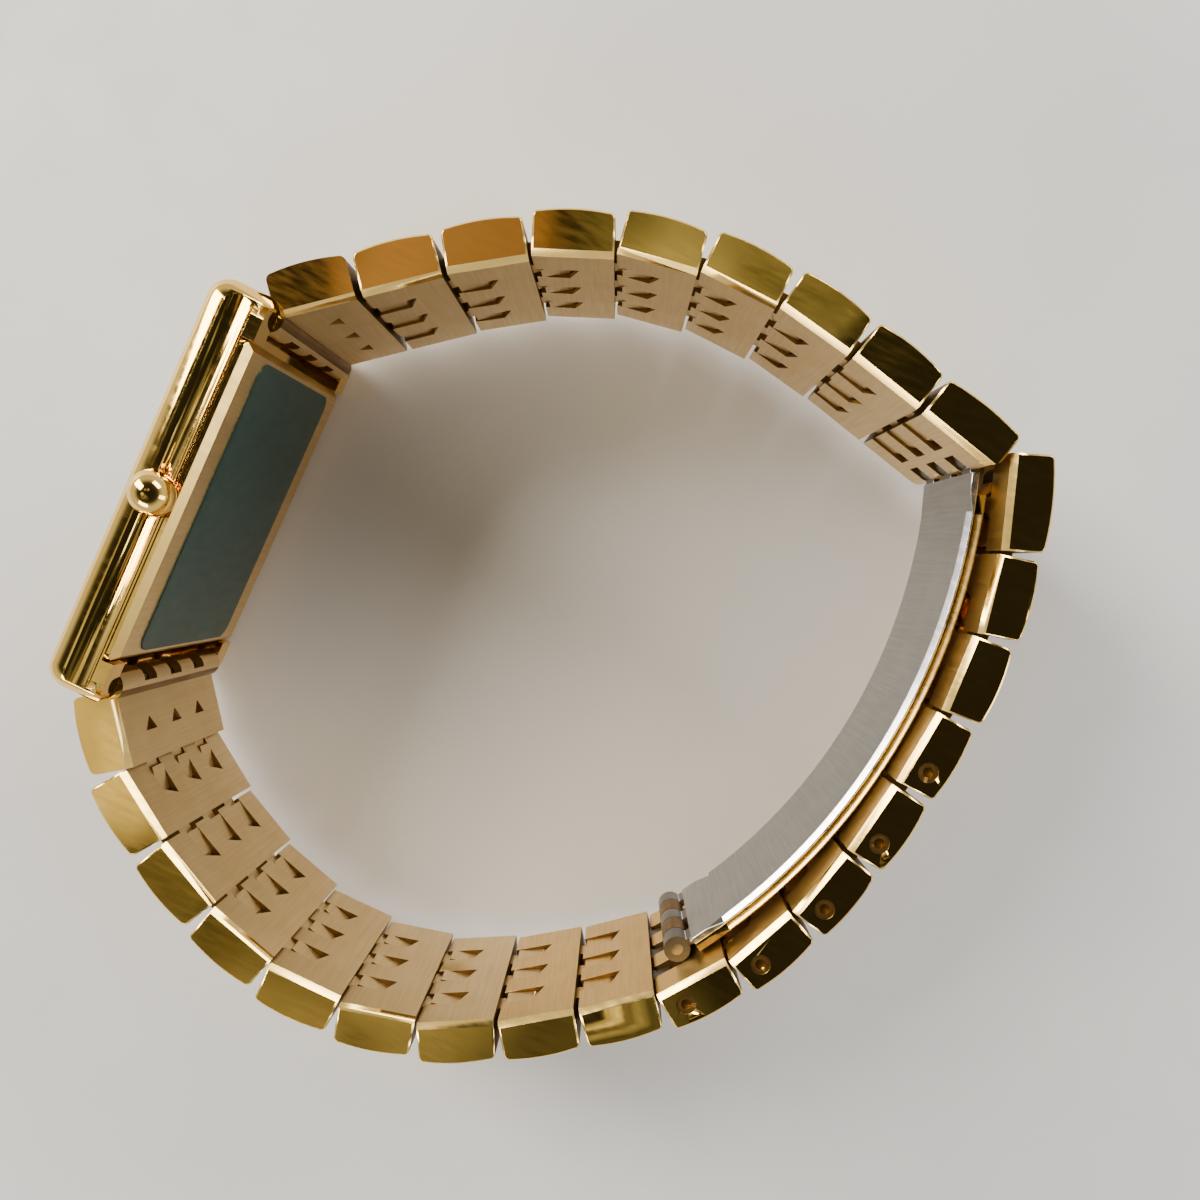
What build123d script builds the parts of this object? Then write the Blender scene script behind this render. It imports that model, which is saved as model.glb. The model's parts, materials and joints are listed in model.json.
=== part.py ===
from build123d import *
from math import acos, atan2, cos, degrees, hypot, radians, sin, sqrt
import os

os.makedirs("parts", exist_ok=True)

# A rectangular bracelet watch, closed, lying on its 9 o'clock side, in millimetres.
# The origin is the middle of the flat 9 o'clock side of the case.
# +Y points to 12 o'clock, +Z to 3 o'clock and the crown, and the dial looks along -X.

# Case: outer sizes
case_length = 29.0
case_width = 24.0
case_depth = 4.2
case_corner_radius = 1.6
mid_z = case_width / 2
front_x = -case_depth / 2
back_x = case_depth / 2

# Case: fits shared by its pieces
overrun = 1.0
seat_gap = 0.05
press_gap = 0.01
running_gap = 0.03

# Bezel
bezel_depth = 1.4
bezel_edge_radius = 1.15
bezel_end_width = 3.6
bezel_side_width = 3.5
aperture_length = case_length - 2 * bezel_end_width
aperture_width = case_width - 2 * bezel_side_width
aperture_corner_radius = 0.9
bezel_back_x = front_x + bezel_depth

# Crystal and its gasket
crystal_margin = 0.6
crystal_thickness = 0.7
crystal_inset = 0.05
crystal_edge_bevel = 0.12
gasket_thickness = 0.15
gasket_width = 0.45
crystal_front_x = front_x + crystal_inset
crystal_back_x = crystal_front_x + crystal_thickness
ledge_x = crystal_back_x + gasket_thickness

# Case middle: lugs, cavity, back seat and lug notches
lug_length = 3.15
lug_width = 2.2
back_plate_thickness = 0.8
back_plate_length = case_length - 2 * lug_length
cavity_end_wall = 1.25
case_side_wall = 3.8
cavity_length = back_plate_length - 2 * cavity_end_wall
cavity_width = case_width - 2 * case_side_wall
cavity_corner_radius = 1.0
back_plate_inset = 0.15
back_plate_bevel = 0.25
back_plate_corner_radius = 0.5
back_lip_depth = 0.2
back_lip_wall = 0.9
seal_groove_depth = 0.3
seal_groove_width = 0.5
seal_wall = 0.35
lug_corner_radius = 0.9
back_seat_x = back_x - back_plate_thickness
notch_back_depth = 2.25
notch_floor_y = back_plate_length / 2 + seat_gap
notch_front_x = back_x - notch_back_depth

# Crown side of the case: a shallow hollow along it, and a thin groove beside the case back
hollow_radius = 1.8
hollow_depth = 0.2
hollow_land = 0.08
side_groove_width = 0.1
side_groove_depth = 0.12
side_groove_back = 0.14
hollow_half = sqrt(hollow_radius**2 - (hollow_radius - hollow_depth) ** 2)
hollow_x = bezel_back_x + hollow_land + hollow_half

# Back film
film_end_margin = 0.75
film_side_margin = 3.2
film_length = back_plate_length - 2 * film_end_margin
film_width = case_width - 2 * film_side_margin
film_thickness = 0.1
film_corner_radius = 1.2

# Dial and markers
dial_thickness = 0.3
dial_end_overlap = 0.2
dial_side_overlap = 0.4
dial_length = aperture_length + 2 * dial_end_overlap
dial_width = aperture_width + 2 * dial_side_overlap
dial_corner_radius = 0.9
dial_hole_radius = 0.75
marker_count = 12
marker_length = 1.7
marker_width = 0.5
marker_height = 0.1
marker_end_margin = 1.6
marker_side_margin = 1.5
marker_ring_length = aperture_length - 2 * marker_end_margin
marker_ring_width = aperture_width - 2 * marker_side_margin
dial_front_x = bezel_back_x
dial_back_x = dial_front_x + dial_thickness

# Hands: reach from the centre, thickness and stacking
hand_thickness = 0.12
hand_gap = 0.15
hour_hand_lift = 0.18
minute_hand_margin = 1.1
minute_hand_length = aperture_width / 2 - minute_hand_margin
hour_hand_shorter = 2.4
hour_hand_length = minute_hand_length - hour_hand_shorter
hour_hand_width = 0.9
minute_hand_width = 0.7
hand_tail_length = 1.3
hand_tip_share = 0.35
hand_boss_radius = 0.85
post_radius = 0.22
minute_tube_radius = 0.38
hour_tube_radius = 0.6
hour_tube_seat = 0.3
minute_tube_seat = 0.4
pinion_seat_depth = 0.45
post_seat_depth = 0.9
hour_hand_back_x = dial_front_x - hour_hand_lift
hour_hand_front_x = hour_hand_back_x - hand_thickness
minute_hand_back_x = hour_hand_front_x - hand_gap
minute_hand_front_x = minute_hand_back_x - hand_thickness
minutes_turn = 54.0
hours_turn = 304.5

# Movement, its holder and the pieces on its back
holder_end_wall = 1.55
holder_side_wall = 1.25
movement_length = cavity_length - 2 * holder_end_wall
movement_width = cavity_width - 2 * holder_side_wall
movement_corner_radius = 2.0
movement_thickness = 1.3
movement_front_x = dial_back_x
movement_back_x = movement_front_x + movement_thickness
battery_end_margin = 0.85
battery_side_margin = 1.35
battery_centre_margin = 0.9
battery_thickness = 1.0
battery_radius = (movement_length / 2 - battery_end_margin - battery_centre_margin) / 2
battery_y = -battery_centre_margin - battery_radius
battery_z_offset = battery_side_margin + battery_radius - movement_width / 2
battery_ledge = 0.7
battery_step_radius = battery_radius - battery_ledge
battery_step = 0.1
strap_thickness = 0.1
strap_width = 2.0
strap_overhang = 1.1
strap_length = 2 * (battery_radius + strap_overhang)
board_thickness = 0.15
board_end_margin = 0.85
board_side_margin = 1.15
board_centre_margin = 1.1
board_length = movement_length / 2 - board_end_margin - board_centre_margin
board_width = movement_width - 2 * board_side_margin
board_corner_radius = 0.8
board_y = board_centre_margin + board_length / 2
coil_radius = 0.55
coil_length = 6.0
coil_offset = 1.2
coil_y = board_y + coil_offset
chip_side = 2.2
chip_offset = 1.4
chip_y = board_y - chip_offset
chip_height = 0.12
holder_rise = 0.08

# Stem, tube and crown
stem_x = 0.35
stem_radius = 0.35
stem_in_movement = 3.75
stem_inner_z = mid_z + movement_width / 2 - stem_in_movement
tube_radius = 0.6
tube_stand = 0.55
tube_holder_gap = 1.2
tube_length = case_side_wall - tube_holder_gap
crown_radius = 1.5
crown_gap = 0.12
crown_collar_radius = 1.25
crown_collar_height = 0.25
crown_ball_rise = 0.75
crown_bore_depth = 0.85
crown_stem_depth = 1.6
crown_foot_z = case_width + crown_gap

# Bracelet links: pin at the local origin, x towards the next link, y outwards
bracelet_width = case_width - 2 * lug_width
link_pitch = 5.8
link_back = 1.5
link_gap = 0.46
link_inner = 1.5
link_outer = 1.5
link_end_height = 1.25
link_corner_radius = 0.42
link_edge_bevel = 0.12
link_front = link_pitch - link_back - link_gap
pin_radius = 0.35
pin_cover = 0.6
pin_recess = 0.35
pin_ring_radius = 0.7
pin_ring_depth = 0.08
first_recessed_cover = 4

# Tongues of a link and the slots of its neighbour
slot_count = 3
slot_width = 2.2
slot_end = 1.5
skin_underside = 0.82
lip_thickness = 0.25
lip_start = 0.75
pit_start = 0.8
tongue_play = 0.05
eye_radius = 0.76
neck_top = 0.6
neck_bottom = 0.9
foot_radius = 1.4
foot_bottom = 1.3
foot_back = 1.4
foot_flat = sqrt(foot_radius**2 - foot_bottom**2)
tongue_width = slot_width - 2 * tongue_play
slot_spacing = bracelet_width / (slot_count + 1)

# End links: hinged on a spring bar between the lugs
lug_hinge_depth = 0.55
lug_hinge_inset = 1.15
lug_hinge_x = back_x - lug_hinge_depth
lug_hinge_y = case_length / 2 - lug_hinge_inset
hinge_back = 1.95
hinge_inward = 1.24
barrel_radius = 1.05
bar_radius = 0.4
bar_tip_radius = 0.3
bar_tip_length = 1.1
bar_shoulder_gap = 0.2
barrel_slot_back = 1.7
lug_play = 0.15

# Last link before the clasp, and the top cover link
finger_reach = 4.5
finger_slot_start = 2.3
blade_hinge_a_along = 3.45
blade_hinge_a_inward = 0.4
finger_round = 1.05
cover_reach = 4.85
cover_slot_start = 2.2
blade_hinge_c_along = 3.6
blade_hinge_c_inward = 0.7
open_slot_end = 0.8
joining_tongue_root = 1.0
joining_tongue_gap = 0.35
joining_tongue_reach = link_pitch - pin_radius - joining_tongue_gap

# Clasp blades, concentric arcs below the cover links
blade_width = 13.0
blade_radius = 43.1
steel_thickness = 0.5
gold_thickness = 0.45
blade_gap = 0.15
knuckle_radius = 0.95
blade_pin_radius = 0.42
knuckle_c_radius = 0.75
knuckle_c_pin_radius = 0.35
knuckle_play = 0.15
knuckle_b_offset = slot_spacing / 2
knuckle_b_width = slot_spacing - tongue_width - 2 * knuckle_play
blade_hinge_b_along = 0.9
blade_hinge_b_inward = 2.55
blade_setback = 1.35
arm_lead = 1.35
catch_radius = 0.7
catch_clearance = 0.4
catch_rise = 0.6
catch_round = 0.18
catch_along_share = 0.52

# Closed clasp: where hinge A of the steel blade lies in the top cover link's plane
shut_along = 5.06
shut_inward = 2.83

# Bends of the closed bracelet, in degrees: how far each link turns from the one before
bends_twelve = [0.4, 4.7, 11.2, 12.6, 11.2, 8.3, 3.1, 0.0]
bends_six = [18.8, 8.1, 10.5, 15.9, 14.6, 14.5, 7.5, 4.3]
bends_cover = [14.3, 12.8, 9.6, 5.3, 4.1, 8.0, 9.0, 8.0]

slot_stations = [slot_spacing * (i - (slot_count - 1) / 2) for i in range(slot_count)]


def link_plane(pin, heading, side):
    """Plane of a link at mid-width: x along the link, y outwards, side +1 for the 12 o'clock half."""
    return Plane(
        origin=(pin[0], pin[1], mid_z),
        x_dir=(cos(radians(heading)), sin(radians(heading)), 0),
        z_dir=(0, 0, side),
    )


def point_in(plane, along, outward):
    """World x and y of a point given along and outwards in a link's plane."""
    spot = plane.from_local_coords((along, outward, 0))
    return spot.X, spot.Y


def chain(side, end_bend, bends):
    """Planes of the links of one half, from the case to the clasp."""
    heading = side * (90 - end_bend)
    hinge = link_plane((lug_hinge_x, side * lug_hinge_y), heading, side)
    planes = [link_plane(point_in(hinge, hinge_back, hinge_inward), heading, side)]
    for bend in bends:
        heading = heading - side * bend
        planes.append(link_plane(point_in(planes[-1], link_pitch, 0), heading, side))
    return planes


def clasp_reach(bends, along, outward):
    """How far, and in which direction in degrees, a point of the last link lies from the spring bar."""
    straight_end = 90
    spot = point_in(chain(1, straight_end, bends)[-1], along, outward)
    reach_x = spot[0] - lug_hinge_x
    reach_y = spot[1] - lug_hinge_y
    return hypot(reach_x, reach_y), degrees(atan2(reach_y, reach_x))


def end_bend(own_reach, other_reach):
    """Bend between the case and one half that lets both halves meet in the clasp."""
    base = 2 * lug_hinge_y
    own, direction = own_reach
    corner = acos((own**2 + base**2 - other_reach[0] ** 2) / (2 * own * base))
    return 180 + direction - degrees(corner)


twelve_reach = clasp_reach(bends_twelve, blade_hinge_a_along, -blade_hinge_a_inward)
six_reach = clasp_reach(bends_six + bends_cover, shut_along, -shut_inward)
twelve_planes = chain(1, end_bend(twelve_reach, six_reach), bends_twelve)
six_planes = chain(-1, end_bend(six_reach, twelve_reach), bends_six + bends_cover)
cover_planes = six_planes[len(bends_six) + 1:]
six_planes = six_planes[: len(bends_six) + 1]


def width_planes(plane, stations):
    """Copies of a link's plane, moved across the bracelet."""
    return [plane.offset(station) for station in stations]


def link_outline(back, front):
    """Side view of a link: flat inner face, crowned outer face."""
    crown_x = (front - back) / 2
    with BuildLine() as edge:
        Polyline(
            (-back, link_end_height), (-back, -link_inner), (front, -link_inner), (front, link_end_height)
        )
        ThreePointArc((front, link_end_height), (crown_x, link_outer), (-back, link_end_height))
    make_face(edge.line)


def link_bar(plane, back, front):
    """The bevelled bar that every link starts from, added to the open part."""
    with BuildSketch(plane) as outline:
        link_outline(back, front)
        fillet(outline.vertices().filter_by(lambda v: v.Y > 0), link_corner_radius)
    extrude(outline.sketch, amount=bracelet_width / 2, both=True)


def bevel_sides(bar):
    """Bevel round the two side faces of a bar."""
    sides = bar.faces().sort_by(Axis.Z)
    chamfer(sides[0].edges() + sides[-1].edges(), link_edge_bevel)


def cut_fork(plane, pit_share):
    """Slots for the neighbour's tongues, each ending in a pit that narrows towards one side."""
    with BuildSketch(*width_planes(plane, slot_stations)) as outline:
        with BuildLine():
            Polyline(
                (-link_back - overrun, skin_underside),
                (slot_end, skin_underside),
                (slot_end, lip_thickness - link_inner),
                (lip_start, lip_thickness - link_inner),
                (lip_start, -link_inner - overrun),
                (-link_back - overrun, -link_inner - overrun),
                close=True,
            )
        make_face()
    extrude(outline.sketch, amount=slot_width / 2, both=True, mode=Mode.SUBTRACT)
    narrow_end = slot_end - (slot_end - pit_start) * pit_share
    for station in slot_stations:
        inner_face = Plane(
            origin=plane.from_local_coords((0, -link_inner, station)),
            x_dir=plane.x_dir,
            z_dir=-plane.y_dir,
        )
        with BuildSketch(inner_face) as outline:
            with BuildLine():
                Polyline(
                    (lip_start - lip_thickness, -slot_width / 2),
                    (narrow_end, -slot_width / 2),
                    (slot_end, slot_width / 2),
                    (lip_start - lip_thickness, slot_width / 2),
                    close=True,
                )
            make_face()
        extrude(outline.sketch, amount=-lip_thickness, mode=Mode.SUBTRACT)


def cut_round(plane, along, outward, radius, reach=bracelet_width):
    """A bore across the width at one place of the side view, as far as reach on either side of the middle."""
    with BuildSketch(plane) as outline:
        with Locations((along, outward)):
            Circle(radius)
    extrude(outline.sketch, amount=reach, both=True, mode=Mode.SUBTRACT)


def add_tongues(plane):
    """Three tongues with pin eyes that enter the next link's slots."""
    with BuildSketch(*width_planes(plane, slot_stations)) as outline:
        with Locations((link_pitch, 0)):
            Circle(eye_radius)
        with BuildLine():
            Polyline(
                (link_pitch + foot_flat, -foot_bottom),
                (link_pitch - foot_back, -foot_bottom),
                (link_pitch - foot_back, neck_top),
                (link_pitch, neck_top),
                (link_pitch, 0),
                (link_pitch + foot_radius, 0),
            )
            CenterArc((link_pitch, 0), foot_radius, 0, -degrees(acos(foot_flat / foot_radius)))
        make_face()
        with BuildLine():
            Polyline(
                (link_front - lip_thickness, neck_top),
                (link_front - lip_thickness, -neck_bottom),
                (link_pitch, -neck_bottom),
                (link_pitch, neck_top),
                close=True,
            )
        make_face()
    extrude(outline.sketch, amount=tongue_width / 2, both=True)
    cut_round(plane, link_pitch, 0, pin_radius + running_gap)


def add_open_pin(plane):
    """A pin in a bore through the whole width, its ends a little below the side faces."""
    cut_round(plane, 0, 0, pin_radius + press_gap)
    with BuildSketch(plane) as outline:
        Circle(pin_radius)
    extrude(outline.sketch, amount=bracelet_width / 2 - pin_recess, both=True)


def add_covered_pin(plane):
    """A pin in a bore that ends below the side faces, so that they stay plain."""
    cut_round(plane, 0, 0, pin_radius + press_gap, bracelet_width / 2 - pin_cover)
    with BuildSketch(plane) as outline:
        Circle(pin_radius)
    extrude(outline.sketch, amount=bracelet_width / 2 - pin_cover - seat_gap, both=True)


def ring_recesses(plane):
    """Shallow ring round both ends of the pin hole."""
    half_width = bracelet_width / 2
    for face_plane in (plane.offset(half_width), plane.offset(-half_width)):
        with BuildSketch(face_plane) as outline:
            Circle(pin_ring_radius)
        extrude(outline.sketch, amount=pin_ring_depth, both=True, mode=Mode.SUBTRACT)


def cut_finger_slots(plane, start, reach):
    """Slots right through the thickness at a link's clasp end."""
    with BuildSketch(*width_planes(plane, slot_stations)) as outline:
        with BuildLine():
            Polyline(
                (start, link_outer + overrun),
                (start, -link_inner - overrun),
                (reach + overrun, -link_inner - overrun),
                (reach + overrun, link_outer + overrun),
                close=True,
            )
        make_face()
    extrude(outline.sketch, amount=slot_width / 2, both=True, mode=Mode.SUBTRACT)


def write(piece, label):
    """Label a finished piece and write its file."""
    piece.part.label = label
    export_step(piece.part, f"parts/{label}.step")


def standard_link(label, plane, recessed=False):
    """A link with its own pin: fork and pin at one end, tongues at the other."""
    with BuildPart() as link:
        link_bar(plane, link_back, link_front)
        bevel_sides(link)
        cut_fork(plane, 1)
        add_tongues(plane)
        if recessed:
            ring_recesses(plane)
            add_open_pin(plane)
        else:
            add_covered_pin(plane)
    write(link, label)


def open_cover_link(label, plane):
    """The cover link at the joining tongues: its slots are open on both faces round the pin."""
    with BuildPart() as link:
        link_bar(plane, link_back, link_front)
        bevel_sides(link)
        with BuildSketch(*width_planes(plane, slot_stations)):
            with BuildLine():
                Polyline(
                    (-link_back - overrun, link_outer + overrun),
                    (open_slot_end, link_outer + overrun),
                    (open_slot_end, -link_inner - overrun),
                    (-link_back - overrun, -link_inner - overrun),
                    close=True,
                )
            make_face()
        extrude(amount=slot_width / 2, both=True, mode=Mode.SUBTRACT)
        ring_recesses(plane)
        add_tongues(plane)
        add_open_pin(plane)
    write(link, label)


def end_link(label, plane):
    """The link at the case: a slotted barrel on the spring bar instead of a fork."""
    with BuildPart() as link:
        with BuildSketch(plane) as side_view:
            link_outline(link_back, link_front)
            fillet(side_view.vertices().filter_by(lambda v: v.Y > 0), link_corner_radius)
            with Locations((-hinge_back, -hinge_inward)):
                Circle(barrel_radius)
            with BuildLine():
                Polyline(
                    (-hinge_back, barrel_radius - hinge_inward),
                    (-link_back / 2, barrel_radius - hinge_inward),
                    (-link_back / 2, -link_inner),
                    (-link_back, -link_inner),
                    (-hinge_back, -hinge_inward),
                    close=True,
                )
            make_face()
        extrude(amount=bracelet_width / 2, both=True)
        with BuildSketch(*width_planes(plane, slot_stations)):
            with BuildLine():
                Polyline(
                    (-hinge_back - barrel_radius - overrun, link_outer),
                    (-barrel_slot_back, link_outer),
                    (-barrel_slot_back, -link_inner - overrun),
                    (-hinge_back - barrel_radius - overrun, -link_inner - overrun),
                    close=True,
                )
            make_face()
        extrude(amount=slot_width / 2, both=True, mode=Mode.SUBTRACT)
        cut_round(plane, -hinge_back, -hinge_inward, bar_radius + seat_gap)
        add_tongues(plane)
    write(link, label)


def finger_link(label, plane):
    """The last 12 o'clock link: fork at one end, four fingers for the steel blade at the other."""
    with BuildPart() as link:
        link_bar(plane, link_back, finger_reach)
        bevel_sides(link)
        round_finger_tips(plane)
        cut_fork(plane, 0)
        cut_finger_slots(plane, finger_slot_start, finger_reach)
        cut_round(
            plane, blade_hinge_a_along, -blade_hinge_a_inward, blade_pin_radius + press_gap,
            bracelet_width / 2 - pin_cover,
        )
        add_covered_pin(plane)
    write(link, label)


def round_finger_tips(plane):
    """Round the inner corner of the finger tips, so that the blade can swing past them."""
    with BuildSketch(plane) as outline:
        with BuildLine():
            Polyline(
                (finger_reach - finger_round, -link_inner),
                (finger_reach - finger_round, -link_inner - overrun),
                (finger_reach + overrun, -link_inner - overrun),
                (finger_reach + overrun, finger_round - link_inner),
                (finger_reach, finger_round - link_inner),
            )
            CenterArc(
                (finger_reach - finger_round, finger_round - link_inner), finger_round, 0, -90
            )
        make_face()
    extrude(outline.sketch, amount=bracelet_width, both=True, mode=Mode.SUBTRACT)


def top_cover_link(label, plane):
    """The free cover link: fork at one end, fingers for the gold blade at the other."""
    with BuildPart() as link:
        link_bar(plane, link_back, cover_reach)
        bevel_sides(link)
        cut_fork(plane, 1)
        cut_finger_slots(plane, cover_slot_start, cover_reach)
        cut_round(
            plane, blade_hinge_c_along, -blade_hinge_c_inward, knuckle_c_pin_radius + press_gap,
            bracelet_width / 2 - pin_cover,
        )
        add_covered_pin(plane)
    write(link, label)


def joining_link(label, tongue_label, plane):
    """The last 6 o'clock link and the three short steel tongues at its clasp end."""
    with BuildPart() as link:
        link_bar(plane, link_back, link_front)
        bevel_sides(link)
        cut_fork(plane, 1)
        with BuildSketch(*width_planes(plane, slot_stations)):
            joining_tongue_outline(link_front + overrun)
        extrude(amount=tongue_width / 2, both=True, mode=Mode.SUBTRACT)
        add_covered_pin(plane)
    write(link, label)
    with BuildPart() as tongues:
        with BuildSketch(*width_planes(plane, slot_stations)):
            joining_tongue_outline(joining_tongue_reach)
        extrude(amount=tongue_width / 2, both=True)
    write(tongues, tongue_label)


def joining_tongue_outline(reach):
    """Side view of a short tongue let into the end of a link."""
    root = link_front - joining_tongue_root
    with BuildLine() as edge:
        Polyline(
            (root, neck_top), (root, -neck_bottom), (reach, -neck_bottom), (reach, neck_top), close=True
        )
    make_face(edge.line)


# Clasp hinges and the common centre of the blades, in world x and y
hinge_a = point_in(twelve_planes[-1], blade_hinge_a_along, -blade_hinge_a_inward)
hinge_b = point_in(cover_planes[0], blade_hinge_b_along, -blade_hinge_b_inward)
hinge_c = point_in(cover_planes[-1], blade_hinge_c_along, -blade_hinge_c_inward)


def blade_centre():
    """The point blade_radius away from hinges A and B, on the wrist's side."""
    chord_x = hinge_a[0] - hinge_b[0]
    chord_y = hinge_a[1] - hinge_b[1]
    chord = hypot(chord_x, chord_y)
    drop = sqrt(blade_radius**2 - (chord / 2) ** 2)
    mid_x = (hinge_a[0] + hinge_b[0]) / 2
    mid_y = (hinge_a[1] + hinge_b[1]) / 2
    return mid_x - drop * chord_y / chord, mid_y + drop * chord_x / chord


centre = blade_centre()


def angle_of(point):
    """Direction of a point from the blades' centre, in degrees."""
    return degrees(atan2(point[1] - centre[1], point[0] - centre[0]))


def on_arc(radius, angle):
    """World x and y of a point at a radius and an angle about the blades' centre."""
    return centre[0] + radius * cos(radians(angle)), centre[1] + radius * sin(radians(angle))


def turn_for(length):
    """Angle that a length takes along the blades, in degrees."""
    return degrees(length / blade_radius)


def arc_strip(inner, outer, start, end):
    """Side view of a curved strip between two radii and two angles."""
    with BuildLine() as edge:
        CenterArc(centre, inner, start, end - start)
        CenterArc(centre, outer, start, end - start)
        Line(on_arc(inner, start), on_arc(outer, start))
        Line(on_arc(inner, end), on_arc(outer, end))
    make_face(edge.line)


def arm_strip(start, end, width):
    """Side view of a straight arm between two points."""
    length = hypot(end[0] - start[0], end[1] - start[1])
    across_x = -(end[1] - start[1]) / length * width / 2
    across_y = (end[0] - start[0]) / length * width / 2
    with BuildLine() as edge:
        Polyline(
            (start[0] + across_x, start[1] + across_y),
            (end[0] + across_x, end[1] + across_y),
            (end[0] - across_x, end[1] - across_y),
            (start[0] - across_x, start[1] - across_y),
            close=True,
        )
    make_face(edge.line)


mid_plane = Plane.XY.offset(mid_z)
steel_inner = blade_radius - steel_thickness / 2
steel_outer = blade_radius + steel_thickness / 2
gold_inner = steel_outer + blade_gap
gold_outer = gold_inner + gold_thickness
angle_a = angle_of(hinge_a)
angle_b = angle_of(hinge_b)
angle_c = angle_of(hinge_c)
catch_angle = angle_b + (angle_a - angle_b) * catch_along_share
catch_plane = Plane(
    origin=(*on_arc(steel_outer, catch_angle), mid_z),
    x_dir=(0, 0, 1),
    z_dir=(cos(radians(catch_angle)), sin(radians(catch_angle)), 0),
)


def bore_at(point, radius):
    """A bore across the whole width of a blade at one hinge."""
    with BuildSketch(mid_plane) as outline:
        with Locations(point):
            Circle(radius)
    extrude(outline.sketch, amount=bracelet_width, both=True, mode=Mode.SUBTRACT)


def steel_blade():
    """The inner blade: a curved plate with three knuckles at each end."""
    with BuildPart() as blade:
        with BuildSketch(mid_plane):
            setback = turn_for(blade_setback)
            arc_strip(steel_inner, steel_outer, angle_b + setback, angle_a - setback)
        extrude(amount=blade_width / 2, both=True)
        with BuildSketch(*width_planes(mid_plane, slot_stations)):
            arc_strip(steel_inner, steel_outer, angle_b, angle_a)
            with Locations(hinge_a, hinge_b):
                Circle(knuckle_radius)
        extrude(amount=tongue_width / 2, both=True)
        bore_at(hinge_a, blade_pin_radius + running_gap)
        bore_at(hinge_b, blade_pin_radius + press_gap)
    write(blade, "steel_blade")


def gold_blade():
    """The middle blade: two knuckles at hinge B, three arms up to hinge C, and the catch's hole."""
    arm_start = on_arc((gold_inner + gold_outer) / 2, angle_c - turn_for(arm_lead))
    knuckle_stations = [-knuckle_b_offset, knuckle_b_offset]
    with BuildPart() as blade:
        with BuildSketch(mid_plane):
            setback = turn_for(blade_setback)
            arc_strip(gold_inner, gold_outer, angle_b + setback, angle_c - turn_for(arm_lead))
        extrude(amount=blade_width / 2, both=True)
        with BuildSketch(*width_planes(mid_plane, knuckle_stations)):
            arc_strip(gold_inner, gold_outer, angle_b, angle_b + 2 * turn_for(blade_setback))
            with Locations(hinge_b):
                Circle(knuckle_radius)
        extrude(amount=knuckle_b_width / 2, both=True)
        with BuildSketch(*width_planes(mid_plane, slot_stations)):
            arm_strip(arm_start, hinge_c, gold_thickness)
            with Locations(hinge_c):
                Circle(knuckle_c_radius)
            with Locations(arm_start):
                Circle(gold_thickness / 2)
        extrude(amount=tongue_width / 2, both=True)
        bore_at(hinge_b, blade_pin_radius + running_gap)
        bore_at(hinge_c, knuckle_c_pin_radius + running_gap)
        with BuildSketch(catch_plane):
            Circle(catch_radius + catch_clearance)
        extrude(amount=blade_gap + gold_thickness + overrun, mode=Mode.SUBTRACT)
    write(blade, "gold_blade")


def catch_stud():
    """The stud on the steel blade that the gold blade snaps over."""
    with BuildPart() as stud:
        with BuildSketch(catch_plane):
            Circle(catch_radius)
        extrude(amount=catch_rise)
        fillet(stud.faces().sort_by(Axis(catch_plane.origin, catch_plane.z_dir))[-1].edges(), catch_round)
    write(stud, "catch_stud")


def blade_pin(label, point, radius, length):
    """One hinge pin of the clasp."""
    with BuildPart() as pin:
        with BuildSketch(mid_plane):
            with Locations(point):
                Circle(radius)
        extrude(amount=length / 2, both=True)
    write(pin, label)


def spring_bar(label, side):
    """A spring bar between the lugs, with a thin tip in each lug."""
    half_body = (bracelet_width - bar_shoulder_gap) / 2
    with BuildPart() as bar:
        with BuildSketch(mid_plane):
            with Locations((lug_hinge_x, side * lug_hinge_y)):
                Circle(bar_radius)
        extrude(amount=half_body, both=True)
        with BuildSketch(mid_plane):
            with Locations((lug_hinge_x, side * lug_hinge_y)):
                Circle(bar_tip_radius)
        extrude(amount=half_body + bar_tip_length, both=True)
    write(bar, label)


def dial_plane(x, turn=0):
    """A plane square to the dial at one depth: its y runs to 12 o'clock, or turn degrees clockwise of it."""
    across = (0, -sin(radians(turn)), cos(radians(turn)))
    return Plane(origin=(x, 0, mid_z), x_dir=across, z_dir=(-1, 0, 0))


def rounded_plate(front, back, length, width, radius, mode=Mode.ADD):
    """A plate parallel to the dial, its length along Y and its width along Z."""
    with BuildSketch(dial_plane(back)) as outline:
        RectangleRounded(width, length, radius)
    extrude(outline.sketch, amount=back - front, mode=mode)


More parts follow.
